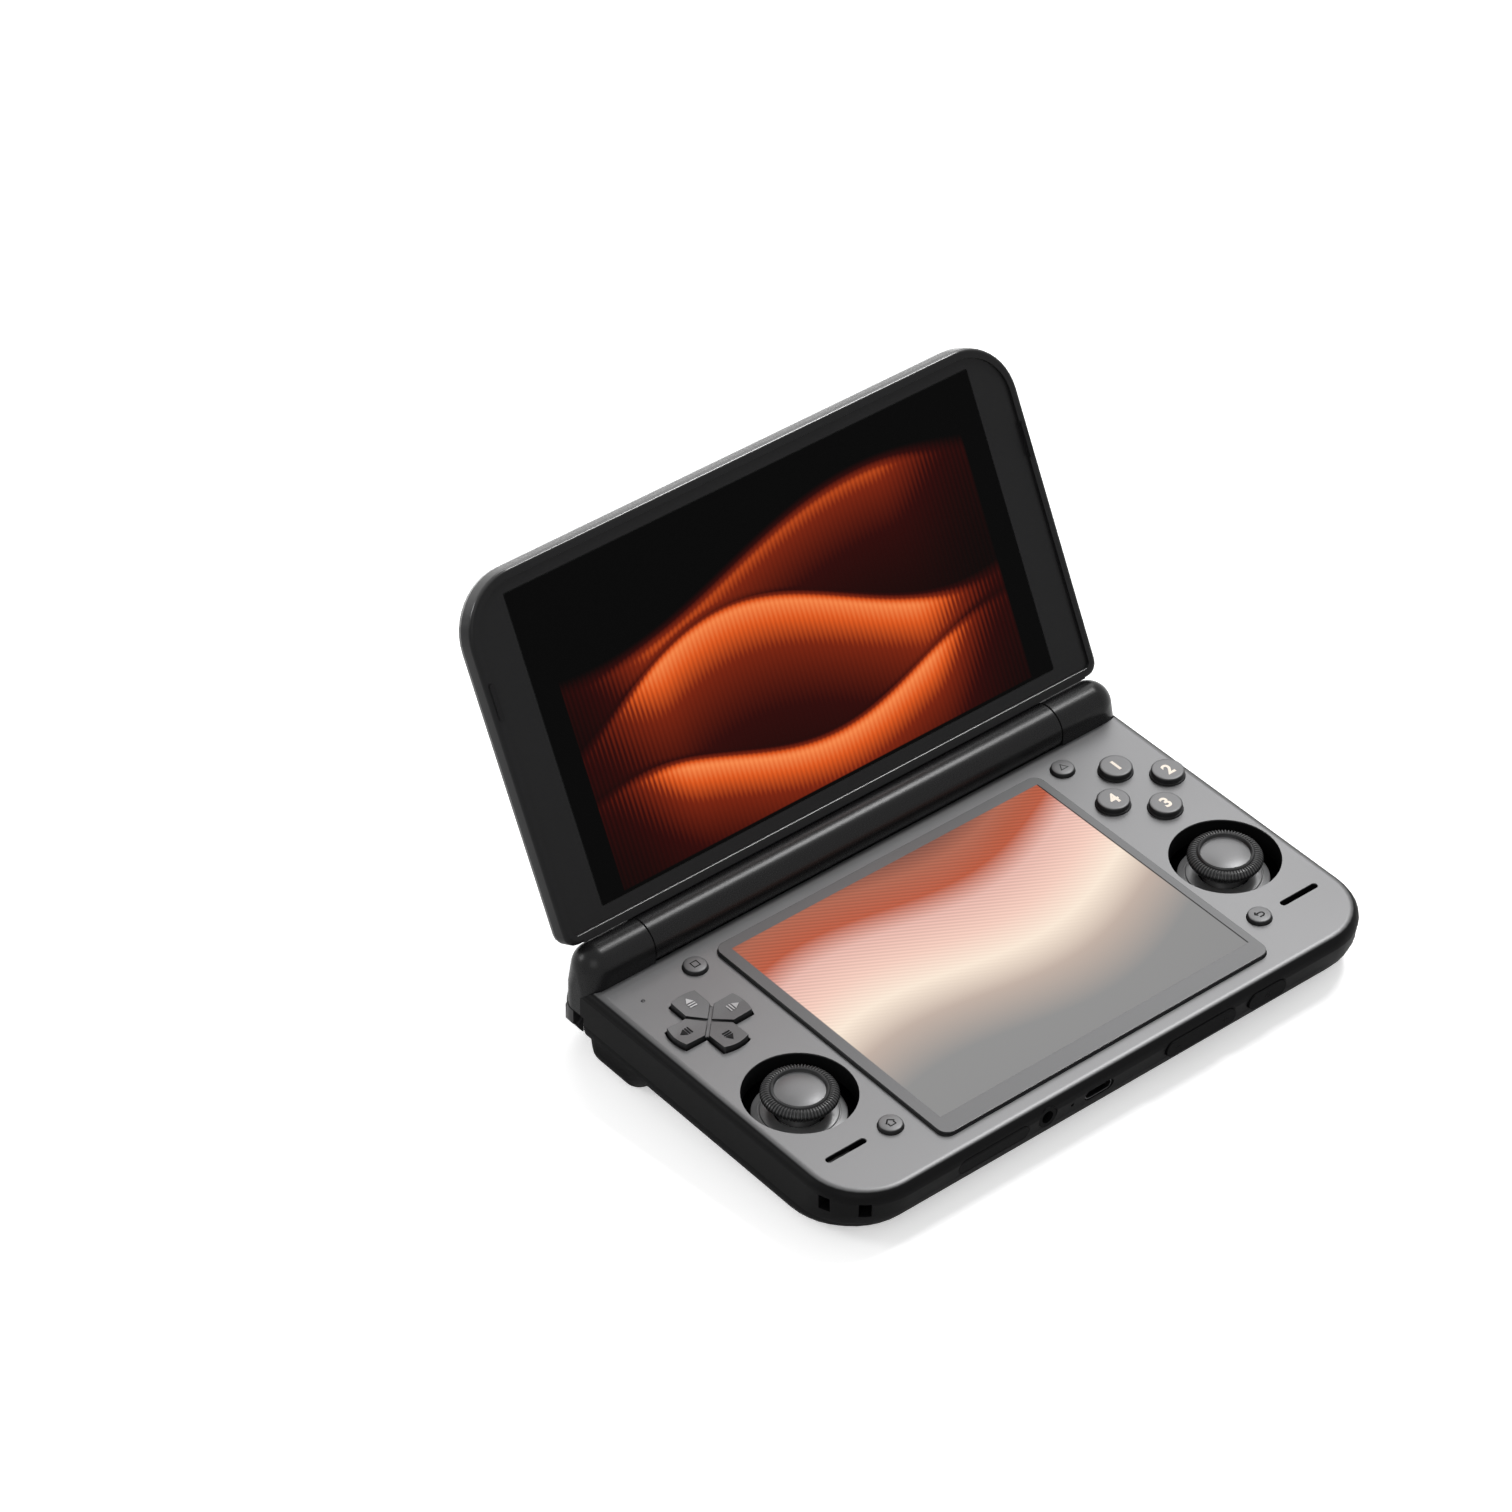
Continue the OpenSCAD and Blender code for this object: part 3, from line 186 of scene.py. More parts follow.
def soft_lamp(name, place, target, width, height, power):
    """A flat soft box that faces its target."""
    light = bpy.data.lights.new(name, "AREA")
    light.shape = "RECTANGLE"
    light.size = width
    light.size_y = height
    light.energy = power
    lamp = bpy.data.objects.new(name, light)
    bpy.context.scene.collection.objects.link(lamp)
    lamp.location = place
    lamp.rotation_euler = (Vector(target) - Vector(place)).to_track_quat("-Z", "Y").to_euler()


soft_lamp("edge_box", (0.92, 0.12, 1.6), (0.02, 0, 0.05), 0.45, 0.3, 17)
soft_lamp("rear_box", (1.0, 1.1, 1.25), (0.05, 0, 0), 1.3, 0.9, 9)
soft_lamp("left_box", (-1.16, 1.12, 0.91), (0, 0, 0), 0.5, 0.5, 7)
soft_lamp("front_box", (-1.2, -1.0, 1.3), (0, 0, 0), 1.0, 1.0, 6)

# ---- Bottom cover ----------------------------------------------------------------------------
# The lower half of the base's housing, moulded in black plastic with two rear grips, screwed up
# into the deck shell. Its outer face has a fine spark-eroded grain and a satin sheen.


def in_mm(tone, axes):
    """Object coordinates in millimetres, turned into the deck's or the lid's axes."""
    per_metre = 1000
    turn = axes.inverted()
    return tone.node("Mapping", {"Vector": tone.node("TexCoord", out="Object"),
                                 "Scale": (per_metre,) * 3, "Rotation": turn.to_euler(),
                                 "Location": turn.translation * per_metre})


def noise(place, scale, detail):
    """Soft noise from 0 to 1, scale of its cells to the millimetre."""
    return place.node("TexNoise", {"Vector": place, "Scale": scale, "Detail": detail})


def bumps(height, strength, relief):
    """A surface broken up by a height that stands relief millimetres high."""
    return height.node("Bump", {"Height": height, "Strength": strength, "Distance": relief / 1000})


def shaded(colour, by):
    """A plain colour made darker or lighter."""
    return tuple(part * by for part in colour)


def mixed(factor, first, second):
    """A blend of two colours, each a plain one or one from nodes."""
    first, second = ((*colour, 1) if isinstance(colour, tuple) else colour
                     for colour in (first, second))
    return factor.node("Mix", {0: factor, 6: first, 7: second}, out=2, data_type="RGBA")


def moulded(name, colour, roughness, axes, grain=3.2, relief=0.012, **fixed):
    """Satin moulded plastic: a fine grain breaks up its colour, gloss and surface."""
    made, tone = material(name, **fixed)
    place = in_mm(tone, axes)
    fine = noise(place, grain, 3)
    broad = noise(place, 0.03, 2)
    drift = fine * 0.5 + broad * 0.5
    feed(made, Base_Color=mixed(drift, shaded(colour, 0.86), shaded(colour, 1.14)),
         Roughness=(fine - 0.5) * 0.08 + (broad - 0.5) * 0.06 + roughness,
         Normal=bumps(fine, 0.5, relief))
    return made


def finish_edges(piece, edge, corner, segments=2):
    """Rounds the edges sharper than corner and evens out the shading of the flats beside them."""
    hold(piece)
    bevel = piece.modifiers.new("edges", "BEVEL")
    bevel.width = edge
    bevel.segments = segments
    bevel.limit_method = "ANGLE"
    bevel.angle_limit = math.radians(corner)
    bevel.miter_outer = "MITER_ARC"
    bpy.ops.object.modifier_apply(modifier="edges")
    bpy.ops.object.shade_smooth_by_angle(angle=math.radians(corner))
    even = piece.modifiers.new("even", "WEIGHTED_NORMAL")
    even.keep_sharp = True
    bpy.ops.object.modifier_apply(modifier="even")


sharp = 38
weld = 2e-6
flat_within = math.radians(0.7)
ridge_round = 0.00045


def from_solid(node, name, edge, corner=sharp, ridge=None):
    """Takes a moulding's skin from its solid, joins it into whole faces and breaks its edges.
    The edges that ridge(point) picks are rounded wider than the rest."""
    piece = bpy.data.objects.new(name, frame["nodes"][node].data.copy())
    bpy.context.scene.collection.objects.link(piece)
    hold(piece)
    bpy.ops.mesh.customdata_custom_splitnormals_clear()
    bpy.ops.object.mode_set(mode="EDIT")
    bpy.ops.mesh.select_all(action="SELECT")
    bpy.ops.mesh.remove_doubles(threshold=weld)
    bpy.ops.mesh.dissolve_limited(angle_limit=flat_within)
    if ridge:
        bpy.ops.mesh.select_mode(type="EDGE")
        bpy.ops.mesh.select_all(action="DESELECT")
        bpy.ops.object.mode_set(mode="OBJECT")
        for line in piece.data.edges:
            line.select = all(ridge(piece.data.vertices[end].co) for end in line.vertices)
        bpy.ops.object.mode_set(mode="EDIT")
        bpy.ops.mesh.bevel(offset=ridge_round, segments=4)
        bpy.ops.mesh.select_mode(type="VERT")
    bpy.ops.object.mode_set(mode="OBJECT")
    finish_edges(piece, edge / 1000, corner)
    return piece


def coat(piece, *finishes):
    """Gives a piece its finish, or several in the order of its face groups."""
    piece.data.materials.clear()
    for finish in finishes:
        piece.data.materials.append(finish)


cover_black = (0.0042, 0.0042, 0.0044)
cover_finish = moulded("cover_plastic", cover_black, 0.46, deck, Specular_IOR_Level=0.03)
bottom = from_solid("bottom_cover", "bottom_housing", 0.15)
coat(bottom, cover_finish)
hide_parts("bottom_cover")
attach(bottom, "base")

# ---- Deck shell ------------------------------------------------------------------------------
# The upper half of the base's housing, one moulding of top plate and side walls. Its flat top
# carries a painted sheen: a grey metallic satin for the overhead light's reflection, which fades
# out over the rounded edge to the black walls.
deck_sheen_grey = (0.155, 0.155, 0.157)
sheen_from, sheen_full = -0.55, -0.04
paint_grain = 5
paint_relief = 0.008
deck_metallic = 0.85
deck_finish, tone = material("deck_painted_sheen", Specular_IOR_Level=0.06)
place = in_mm(tone, deck)
# Painted sheen: grey metallic on the flat top only, black below it on the edge and walls.
top = place.part("Z").rise(sheen_from, sheen_full)
fleck = noise(place, paint_grain, 2)
cloud = noise(place, 0.022, 1)
sheen_colour = mixed(fleck * 0.6 + cloud * 0.4, shaded(deck_sheen_grey, 0.85), shaded(deck_sheen_grey, 1.15))
feed(deck_finish, Base_Color=mixed(top, cover_black, sheen_colour), Metallic=top * deck_metallic,
     Roughness=(fleck - 0.5) * 0.07 + 0.44, Normal=bumps(fleck, 0.4, paint_relief))
shell = from_solid("deck_shell", "deck_housing", 0.16)
coat(shell, deck_finish)
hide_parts("deck_shell")
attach(shell, "base")

# ---- Stick collars ---------------------------------------------------------------------------
# A dished grey plastic ring with a fine groove round each stick, clipped into the bottom of its
# well. The stick's dust cover dips into the opening.
collar_finish = moulded("collar_plastic", (0.17, 0.17, 0.172), 0.4, deck, Metallic=0.4)
collars = from_solid("stick_collars", "stick_rings", 0.05)
coat(collars, collar_finish)
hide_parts("stick_collars")
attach(collars, "base")

# ---- Thumb sticks ----------------------------------------------------------------------------
# A black rubber cap pressed on the stick's stem: a knurled outer roll, a thin raised ring and a
# low smooth dome for the thumb, over the ball-shaped dust cover that closes the collar.


def raised(name, outline, corners=96):
    """Raises a round piece from a flat disc, ring by ring: (radius, height) pairs."""
    bpy.ops.object.select_all(action="DESELECT")
    radius, height = outline[0]
    bpy.ops.mesh.primitive_circle_add(vertices=corners, radius=radius, fill_type="NGON",
                                      location=(0, 0, 0))
    piece = bpy.context.object
    piece.name = name
    bpy.ops.object.mode_set(mode="EDIT")
    bpy.ops.mesh.select_all(action="SELECT")
    bpy.ops.transform.translate(value=(0, 0, height))
    for wider, higher in outline[1:]:
        bpy.ops.mesh.extrude_region_move(TRANSFORM_OT_translate={"value": (0, 0, higher - height)})
        bpy.ops.transform.resize(value=(wider / radius, wider / radius, 1),
                                 center_override=(0, 0, higher))
        radius, height = wider, higher
    bpy.ops.mesh.select_all(action="SELECT")
    bpy.ops.mesh.normals_make_consistent(inside=False)
    bpy.ops.object.mode_set(mode="OBJECT")
    return piece


def settle(piece, place, axes=deck_mm):
    """Moves a piece's mesh to its place, given in the deck's or the lid's millimetres."""
    piece.data.transform(axes @ Matrix.Translation(place))
    piece.data.update()


def another(piece, name):
    """A copy with its own mesh."""
    copy = bpy.data.objects.new(name, piece.data.copy())
    bpy.context.scene.collection.objects.link(copy)
    return copy


ball_middle = -10
dust_cover = [(ball * math.sin(angle), ball * math.cos(angle) + ball_middle)
              for ball, angles in ((6.72, (34.5, 42, 50, 56.5)), (7.48, (56.5, 50, 42, 34.5)))
              for angle in map(math.radians, angles)]
roll_low = -1.2
cap_outline = [(2.5, -4.55), *dust_cover, (4.2, -2.55), (5.2, -1.85), (8.4, -1.65),
               (9.4, roll_low), (9.92, -0.45), (10.05, 0), (9.95, 0.35), (9.72, 0.75),
               (9.35, 1.12), (8.9, 1.4), (8.35, 1.58), (7.75, 1.5), (7.5, 1.35), (7.42, 1.6),
               (7.28, 1.88), (7.05, 2.03), (6.85, 1.9), (6.75, 1.5), (6.5, 1.05), (6.1, 1.11),
               (5.2, 1.3), (3.9, 1.49), (2.4, 1.61), (0.9, 1.66)]
rib_count = 66
steps_per_rib = 4
rib_deep = 0.34
roll_inner, roll_outer, roll_lit = 7.6, 9.9, 0.3
roll_core = (8.2, 0.05)
ring_inner, ring_outer, ring_low = 6.8, 7.35, 1.8
ring_glint = 0.6
dome_edge, dome_low = 6.5, 1
steps = rib_count * steps_per_rib
stick = raised("left_thumb_stick", cap_outline, steps)
# Painted highlight: the rib tops on the upper roll and the raised ring's top are marked to be
# painted lighter.
rib_glint = stick.data.attributes.new("rib_glint", "FLOAT", "POINT")
for corner, mark in zip(stick.data.vertices, rib_glint.data):
    radius = math.hypot(corner.co.x, corner.co.y)
    step = round(math.atan2(corner.co.y, corner.co.x) / (math.tau / steps)) % steps_per_rib
    if step >= steps_per_rib / 2:
        on_rib = roll_inner < radius < roll_outer and corner.co.z > roll_lit
    else:
        on_rib = False
        if radius > roll_inner and corner.co.z > roll_low - 0.01:
            way = roll_core[0] / radius
            core = Vector((way * corner.co.x, way * corner.co.y, roll_core[1]))
            corner.co += (core - corner.co).normalized() * rib_deep
    on_ring = ring_inner < radius < ring_outer and corner.co.z > ring_low
    mark.value = float(on_rib) + ring_glint * float(on_ring)
hold(stick)
bpy.ops.object.shade_smooth_by_angle(angle=math.radians(sharp))

rubber, tone = material("stick_rubber", Specular_IOR_Level=0.35)
place = in_mm(tone, deck)
dust = noise(place, 4, 4)
worn = noise(place, 0.35, 2)
# The marked tops get a painted highlight: a lighter grey and a little more gloss.
glint_mask = tone.node("Attribute", out="Fac", attribute_name="rib_glint")
plain = mixed(dust, (0.008, 0.008, 0.0084), (0.015, 0.015, 0.0155))
feed(rubber, Base_Color=mixed(glint_mask, plain, (0.045, 0.045, 0.0458)),
     Roughness=(worn - 0.5) * 0.12 + 0.4 - glint_mask * 0.08, Normal=bumps(dust, 0.4, 0.01))
# Painted sheen: the thumb dome is a lighter grey metallic than the rubber, for the soft highlight
# on it.
dome_sheen_finish = moulded("thumb_dome_painted_sheen", (0.12, 0.12, 0.122), 0.36, deck, Metallic=0.5,
                      Specular_IOR_Level=0.4)
coat(stick, rubber, dome_sheen_finish)
for face in stick.data.polygons:
    face.material_index = int(face.center.to_2d().length < dome_edge and face.center.z > dome_low)
stick_x = 72
for cap, side, body in ((another(stick, "right_thumb_stick"), 1, "right_stick"),
                        (stick, -1, "left_stick")):
    settle(cap, (side * stick_x, 0, 0))
    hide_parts(body + "_cap")
    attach(cap, body)

# ---- Face buttons ----------------------------------------------------------------------------
# Four round keys in black plastic with a painted sheen of grey satin on the top and a printed
# cream number each, set in a diamond. Their flanges stop them under the deck.
key_side_black = (0.006, 0.006, 0.0065)
key_sheen_grey = (0.13, 0.13, 0.132)
key_metallic = 0.5
cream = (0.86, 0.77, 0.66)


def topped(name, height):
    """Black plastic whose top, height millimetres up, carries a painted sheen in grey."""
    made, tone = material(name, Specular_IOR_Level=0.3)
    place = in_mm(tone, deck)
    top = place.part("Z").rise(height - 0.22, height - 0.02)
    fleck = noise(place, paint_grain, 2)
    top_sheen = mixed(fleck, shaded(key_sheen_grey, 0.85), shaded(key_sheen_grey, 1.15))
    feed(made, Base_Color=mixed(top, key_side_black, top_sheen), Metallic=top * key_metallic,
         Roughness=(fleck - 0.5) * 0.08 + 0.42, Normal=bumps(fleck, 0.4, paint_relief))
    return made


def flecked(name, first, second, scale, detail, gloss=None, **fixed):
    """A finish whose colour, and whose gloss if given, drift between two values."""
    made, tone = material(name, **fixed)
    drift = noise(in_mm(tone, deck), scale, detail)
    feed(made, Base_Color=mixed(drift, first, second))
    if gloss:
        feed(made, Roughness=drift * gloss[0] + gloss[1])
    return made


def printed(name, text, size, lift):
    """A character as a thin bold print, centred on the origin at height lift."""
    bpy.ops.object.select_all(action="DESELECT")
    bpy.ops.object.text_add(location=(0, 0, 0))
    sign = bpy.context.object
    sign.name = name
    sign.data.body = text
    sign.data.size = size
    sign.data.align_x = "CENTER"
    sign.data.align_y = "CENTER"
    sign.data.offset = 0.03 * size
    sign.data.extrude = 0.02
    sign.data.resolution_u = 6
    bpy.ops.object.convert(target="MESH")
    middle = sum((Vector(corner) for corner in sign.bound_box), Vector()) / 8
    sign.data.transform(Matrix.Translation((-middle.x, -middle.y, lift)))
    return sign


face_top = 2.0
face_outline = [(4.2, -3.4), (5.2, -3.4), (5.2, -2.7), (4.72, -2.6), (4.72, 0.35),
                (4.66, 0.45), (4.5, 0.5), (4.48, 1.45), (4.42, 1.72), (4.25, 1.9),
                (4.0, 1.99), (3.6, 2.0), (0.8, 2.0)]
face_finish = topped("face_key_plastic", face_top)
ink = flecked("cream_ink", shaded(cream, 0.93), cream, 6, 2, Roughness=0.45)
number_size = 5.2
face_key = raised("face_key_left", face_outline)
hold(face_key)
bpy.ops.object.shade_smooth_by_angle(angle=math.radians(sharp))
coat(face_key, face_finish)
face_middle = Vector((73.15, 33.75, 0))
face_pitch = 9.67
ways = {"back": 90, "right": 0, "front": -90, "left": 180}
for number, (way, turn) in enumerate(ways.items(), 1):
    place = face_middle + Matrix.Rotation(math.radians(turn), 3, "Z") @ Vector((face_pitch, 0, 0))
    key = face_key if way == "left" else another(face_key, "face_key_" + way)
    sign = printed("face_number_" + way, str(number), number_size, face_top + 0.01)
    coat(sign, ink)
    settle(sign, place)
    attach(sign, "face_button_" + way)
    settle(key, place)
    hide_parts("face_button_" + way)
    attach(key, "face_button_" + way)

# ---- Function buttons ------------------------------------------------------------------------
# Four small round keys like the face buttons, lower, with a thin black mark on each top: a
# square, a triangle, a house and a return arrow.


def drawn(name, lines, **settings):
    """A mark from lines, each a list of points and whether it closes, turned into a mesh."""
    drawing = bpy.data.curves.new(name, "CURVE")
    for setting, value in settings.items():
        setattr(drawing, setting, value)
    for points, closed in lines:
        line = drawing.splines.new("POLY")
        line.points.add(len(points) - 1)
        line.use_cyclic_u = closed
        for point, (x, y) in zip(line.points, points):
            point.co = (x, y, 0, 1)
    sign = bpy.data.objects.new(name, drawing)
    bpy.context.scene.collection.objects.link(sign)
    hold(sign)
    bpy.ops.object.convert(target="MESH")
    return bpy.context.object


def stroked(name, strokes, width, lift, thick):
    """A mark drawn in strokes: flat beads along lines, at height lift."""
    sign = drawn(name, strokes, dimensions="3D", bevel_depth=width / 2, bevel_resolution=1,
                 use_fill_caps=True)
    flatten = Matrix.Diagonal((1, 1, thick / (width / 2), 1))
    sign.data.transform(Matrix.Translation((0, 0, lift)) @ flatten)
    return sign


function_top = 1.2
mark_wide, mark_thick = 0.5, 0.05
function_outline = [(3.0, -3.1), (4.05, -3.1), (4.05, -2.4), (3.3, -2.3), (3.3, 0.2), (3.25, 0.3),
                    (3.2, 0.75), (3.1, 0.98), (2.93, 1.13), (2.7, 1.2), (0.6, 1.2)]
# The key tops carry the same painted sheen of grey as the face keys.
function_finish = topped("function_key_plastic", function_top)
mark_black = flecked("mark_fill", (0.008, 0.008, 0.008), (0.016, 0.016, 0.016), 6, 2,
                     Roughness=0.6, Specular_IOR_Level=0.1)
marks = {
    "square": ((-62.5, 52.4), [([(-0.95, -0.95), (0.95, -0.95), (0.95, 0.95), (-0.95, 0.95)],
                                True)]),
    "triangle": ((62.5, 52.4), [([(-1.15, -0.8), (1.15, -0.8), (0, 1.15)], True)]),
    "house": ((-62.3, -23.1), [([(-1.3, 0.1), (0, 1.25), (1.3, 0.1)], False),
                               ([(-0.85, 0), (-0.85, -1), (0.85, -1), (0.85, 0)], False)]),
    "return": ((62.3, -23.1), [([(-1.2, 0.45), (0.5, 0.45), (1.05, 0.1), (1.05, -0.6),
                                 (0.5, -0.95), (-0.7, -0.95)], False),
                               ([(-0.6, 1.1), (-1.25, 0.45), (-0.6, -0.2)], False)]),
}
small_key = raised("small_key_square", function_outline, 64)
hold(small_key)
bpy.ops.object.shade_smooth_by_angle(angle=math.radians(sharp))
coat(small_key, function_finish)
for name in ("return", "house", "triangle", "square"):
    place, strokes = marks[name]
    key = small_key if name == "square" else another(small_key, "small_key_" + name)
    sign = stroked("small_mark_" + name, strokes, mark_wide, function_top, mark_thick)
    coat(sign, mark_black)
    for piece in (key, sign):
        settle(piece, (*place, 0))
        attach(piece, name + "_button")
    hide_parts(name + "_button")

# ---- Direction pad ---------------------------------------------------------------------------
# One black moulding with four arms on a round flange. The arms' tops slope a little down towards
# the middle, two crossing channels part them, and each has an arrow of a triangle and two bars.
# The tops that face up carry a painted sheen of grey.
cross_radius = 11.3
arm_half = 3.92
cross_top = 1.8
cross_low = -3.3
dish_deep = 0.65
channel_half = 0.5
channel_deep = 0.55
pad_place = (-73.15, 33.75, 0)


def block(low, high):
    """A plain block as a tool for cutting and joining, from corner to corner."""
    bpy.ops.object.select_all(action="DESELECT")
    size = Vector(high) - Vector(low)
    bpy.ops.mesh.primitive_cube_add(size=1, location=(0, 0, 0))
    made = bpy.context.object
    made.data.transform(Matrix.Translation((Vector(low) + Vector(high)) / 2)
                        @ Matrix.Diagonal((*size, 1)))
    return made


def combine(piece, tool, operation):
    """Cuts, joins or keeps what is common, and throws the tool away."""
    hold(piece)
    work = piece.modifiers.new("work", "BOOLEAN")
    work.operation = operation
    work.solver = "EXACT"
    work.object = tool
    bpy.ops.object.modifier_apply(modifier="work")
    bpy.data.objects.remove(tool)


def facing(tone, way):
    """How far the surface faces a way, from -1 to 1."""
    return tone.node("VectorMath", {0: tone.node("TexCoord", out="Normal"), 1: tuple(way)},
                     out="Value", operation="DOT_PRODUCT")


bpy.ops.object.select_all(action="DESELECT")
bpy.ops.mesh.primitive_cylinder_add(vertices=128, radius=cross_radius, depth=cross_top - cross_low,
                                    location=(0, 0, 0))
cross = bpy.context.object
cross.name = "direction_cross"
cross.data.transform(Matrix.Translation((0, 0, (cross_top + cross_low) / 2)))
past, below, above = 20, -9, 9
arms = block((-arm_half, -past, below), (arm_half, past, above))
combine(arms, block((-past, -arm_half, below), (past, arm_half, above)), "UNION")
combine(cross, arms, "INTERSECT")
dish_reach = 30
dish_flat = dish_reach * 0.7071
dish_rise = dish_deep / 11.4 * dish_flat
bpy.ops.object.select_all(action="DESELECT")
bpy.ops.mesh.primitive_cone_add(vertices=4, radius1=0, radius2=dish_reach, depth=dish_rise,
                                location=(0, 0, 0))
dish = bpy.context.object
dish.data.transform(Matrix.Translation((0, 0, cross_top - dish_deep + dish_rise / 2)))
combine(cross, dish, "DIFFERENCE")
for angle in (45, 135):
    channel = block((-past, -channel_half, cross_top - dish_deep - channel_deep),
                    (past, channel_half, above))
    channel.data.transform(Matrix.Rotation(math.radians(angle), 4, "Z"))
    combine(cross, channel, "DIFFERENCE")
hold(cross)
bpy.ops.object.mode_set(mode="EDIT")
bpy.ops.mesh.select_all(action="SELECT")
bpy.ops.mesh.remove_doubles(threshold=0.001)
bpy.ops.mesh.dissolve_limited(angle_limit=math.radians(0.5))
bpy.ops.object.mode_set(mode="OBJECT")
finish_edges(cross, 0.3, 30, 3)
flange = raised("pad_flange", [(8, -3.4), (12.05, -3.4), (12.05, -2.95), (8, -2.95)], 64)
combine(cross, flange, "UNION")

pad_finish, tone = material("pad_plastic", Specular_IOR_Level=0.4)
# Painted sheen: grey on the faces that look up, black on the sides.
top = facing(tone, deck_up).rise(0.72, 0.93)
fleck = noise(in_mm(tone, deck), paint_grain, 2)
pad_sheen_grey = mixed(fleck, (0.085, 0.085, 0.087), (0.115, 0.115, 0.117))
feed(pad_finish, Base_Color=mixed(top, key_side_black, pad_sheen_grey), Metallic=top * key_metallic,
     Roughness=(fleck - 0.5) * 0.08 + 0.4, Normal=bumps(fleck, 0.4, paint_relief))
coat(cross, pad_finish)
settle(cross, pad_place)
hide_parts("direction_pad")
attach(cross, "direction_pad")

arrow_at = 7.6
arrow_half = 1.15
bar_wide = 0.4
slope = math.atan2(dish_deep, cross_radius)
shapes = [[(0.15, -arrow_half), (1.85, 0), (0.15, arrow_half)]]
for start in (-0.65, -1.45):
    shapes.append([(start, -arrow_half), (start + bar_wide, -arrow_half),
                   (start + bar_wide, arrow_half), (start, arrow_half)])
arrow = drawn("pad_arrow", [(shape, True) for shape in shapes], dimensions="2D",
              fill_mode="BOTH", extrude=0.06)
# The back and right arrows are a painted highlight in light grey, the front and left ones painted
# shade in black.
arrow_highlight_paint = moulded("arrow_painted_highlight", (0.3, 0.3, 0.303), 0.35, deck, Metallic=0.5)
arrow_painted_shade = moulded("arrow_painted_shade", (0.008, 0.008, 0.0085), 0.5, deck, Specular_IOR_Level=0.1)
arrow_height = cross_top - dish_deep + arrow_at * math.tan(slope)
tilt = Matrix.Translation((arrow_at, 0, arrow_height + 0.02)) @ Matrix.Rotation(-slope, 4, "Y")
for way in ("back", "front", "left", "right"):
    sign = arrow if way == "right" else another(arrow, "pad_arrow_" + way)
    coat(sign, arrow_highlight_paint if way in ("back", "right") else arrow_painted_shade)
    sign.data.transform(Matrix.Rotation(math.radians(ways[way]), 4, "Z") @ tilt)
    settle(sign, pad_place)
    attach(sign, "direction_pad")
arrow.name = "pad_arrow_right"

# ---- Lower screen ----------------------------------------------------------------------------
# A touch panel of dark glass with rounded corners that stands a little proud in a black gasket.
# The picture shines through it: slanting soft bands from orange to cream over plain grey.


def faced(piece, front, back, up):
    """Gives the front finish to the faces that look up, and the back finish to the rest."""
    coat(piece, back, front)
    for face in piece.data.polygons:
        face.material_index = int(face.normal.dot(up) > 0.95)


def inside(x, y, span_x, span_y, soft=0.15):
    """One within a rectangle and nothing outside it."""
    def step(value, at):
        return value.rise(at - soft, at + soft, "LINEAR")

    return (step(x, span_x[0]) * (1 - step(x, span_x[1]))
            * step(y, span_y[0]) * (1 - step(y, span_y[1])))


lower_x = (-51.5, 52.2)
lower_y = (-29.3, 51.2)
picture_low, picture_run = 50, 105
glass_edge = moulded("glass_edge", (0.008, 0.008, 0.009), 0.25, deck)
lower_finish, tone = material("lower_picture", Specular_IOR_Level=0.03, Emission_Strength=1.0)
place = in_mm(tone, deck)
x, y = place.part("X"), place.part("Y")
lit = inside(x, y, lower_x, lower_y)
swell = (x * 0.05 + 0.6).math("SINE") * 6
along = (y * 0.9 - x * 0.12 + swell + picture_low) / picture_run
bands = tone.node("ValToRGB", {0: along}, stops=(
    (0.0, (0.235, 0.235, 0.238)), (0.34, (0.25, 0.248, 0.246)), (0.47, (0.5, 0.4, 0.34)),
    (0.57, (0.95, 0.8, 0.66)), (0.66, (0.93, 0.62, 0.52)), (0.75, (0.85, 0.5, 0.43)),
    (0.82, (0.52, 0.09, 0.03)), (0.9, (0.45, 0.12, 0.06)), (1.0, (0.06, 0.02, 0.015))))
ribs = ((x * 0.5 + y * 0.86) * 5.2).math("SINE") * 0.5 + 0.5
strong = along.rise(0.5, 0.8, "LINEAR")
dimmed = tone.node("VectorMath", {0: bands, "Scale": 1 - ribs * strong * 0.28}, operation="SCALE")
seam_wide = 0.35
seam = inside(x, y, (lower_x[1], lower_x[1] + seam_wide), lower_y, 0.08)
# Painted sheen: the border round the picture is a darker metallic copy of the deck's grey; the
# seam at the right is a real dark line.
border_sheen_and_seam = mixed(seam, shaded(deck_sheen_grey, 0.62), (0.004, 0.004, 0.004))
dark = (0.0, 0.0, 0.0)
feed(lower_finish, Base_Color=mixed(lit, border_sheen_and_seam, (0.02, 0.02, 0.02)),
     Metallic=(1 - lit) * (1 - seam) * deck_metallic, Roughness=0.42 - lit * 0.3,
     Emission_Color=mixed(lit, dark, dimmed))
lower_screen = from_solid("lower_glass", "lower_screen", 0.1)
faced(lower_screen, lower_finish, glass_edge, deck_up)
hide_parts("lower_glass")
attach(lower_screen, "base")

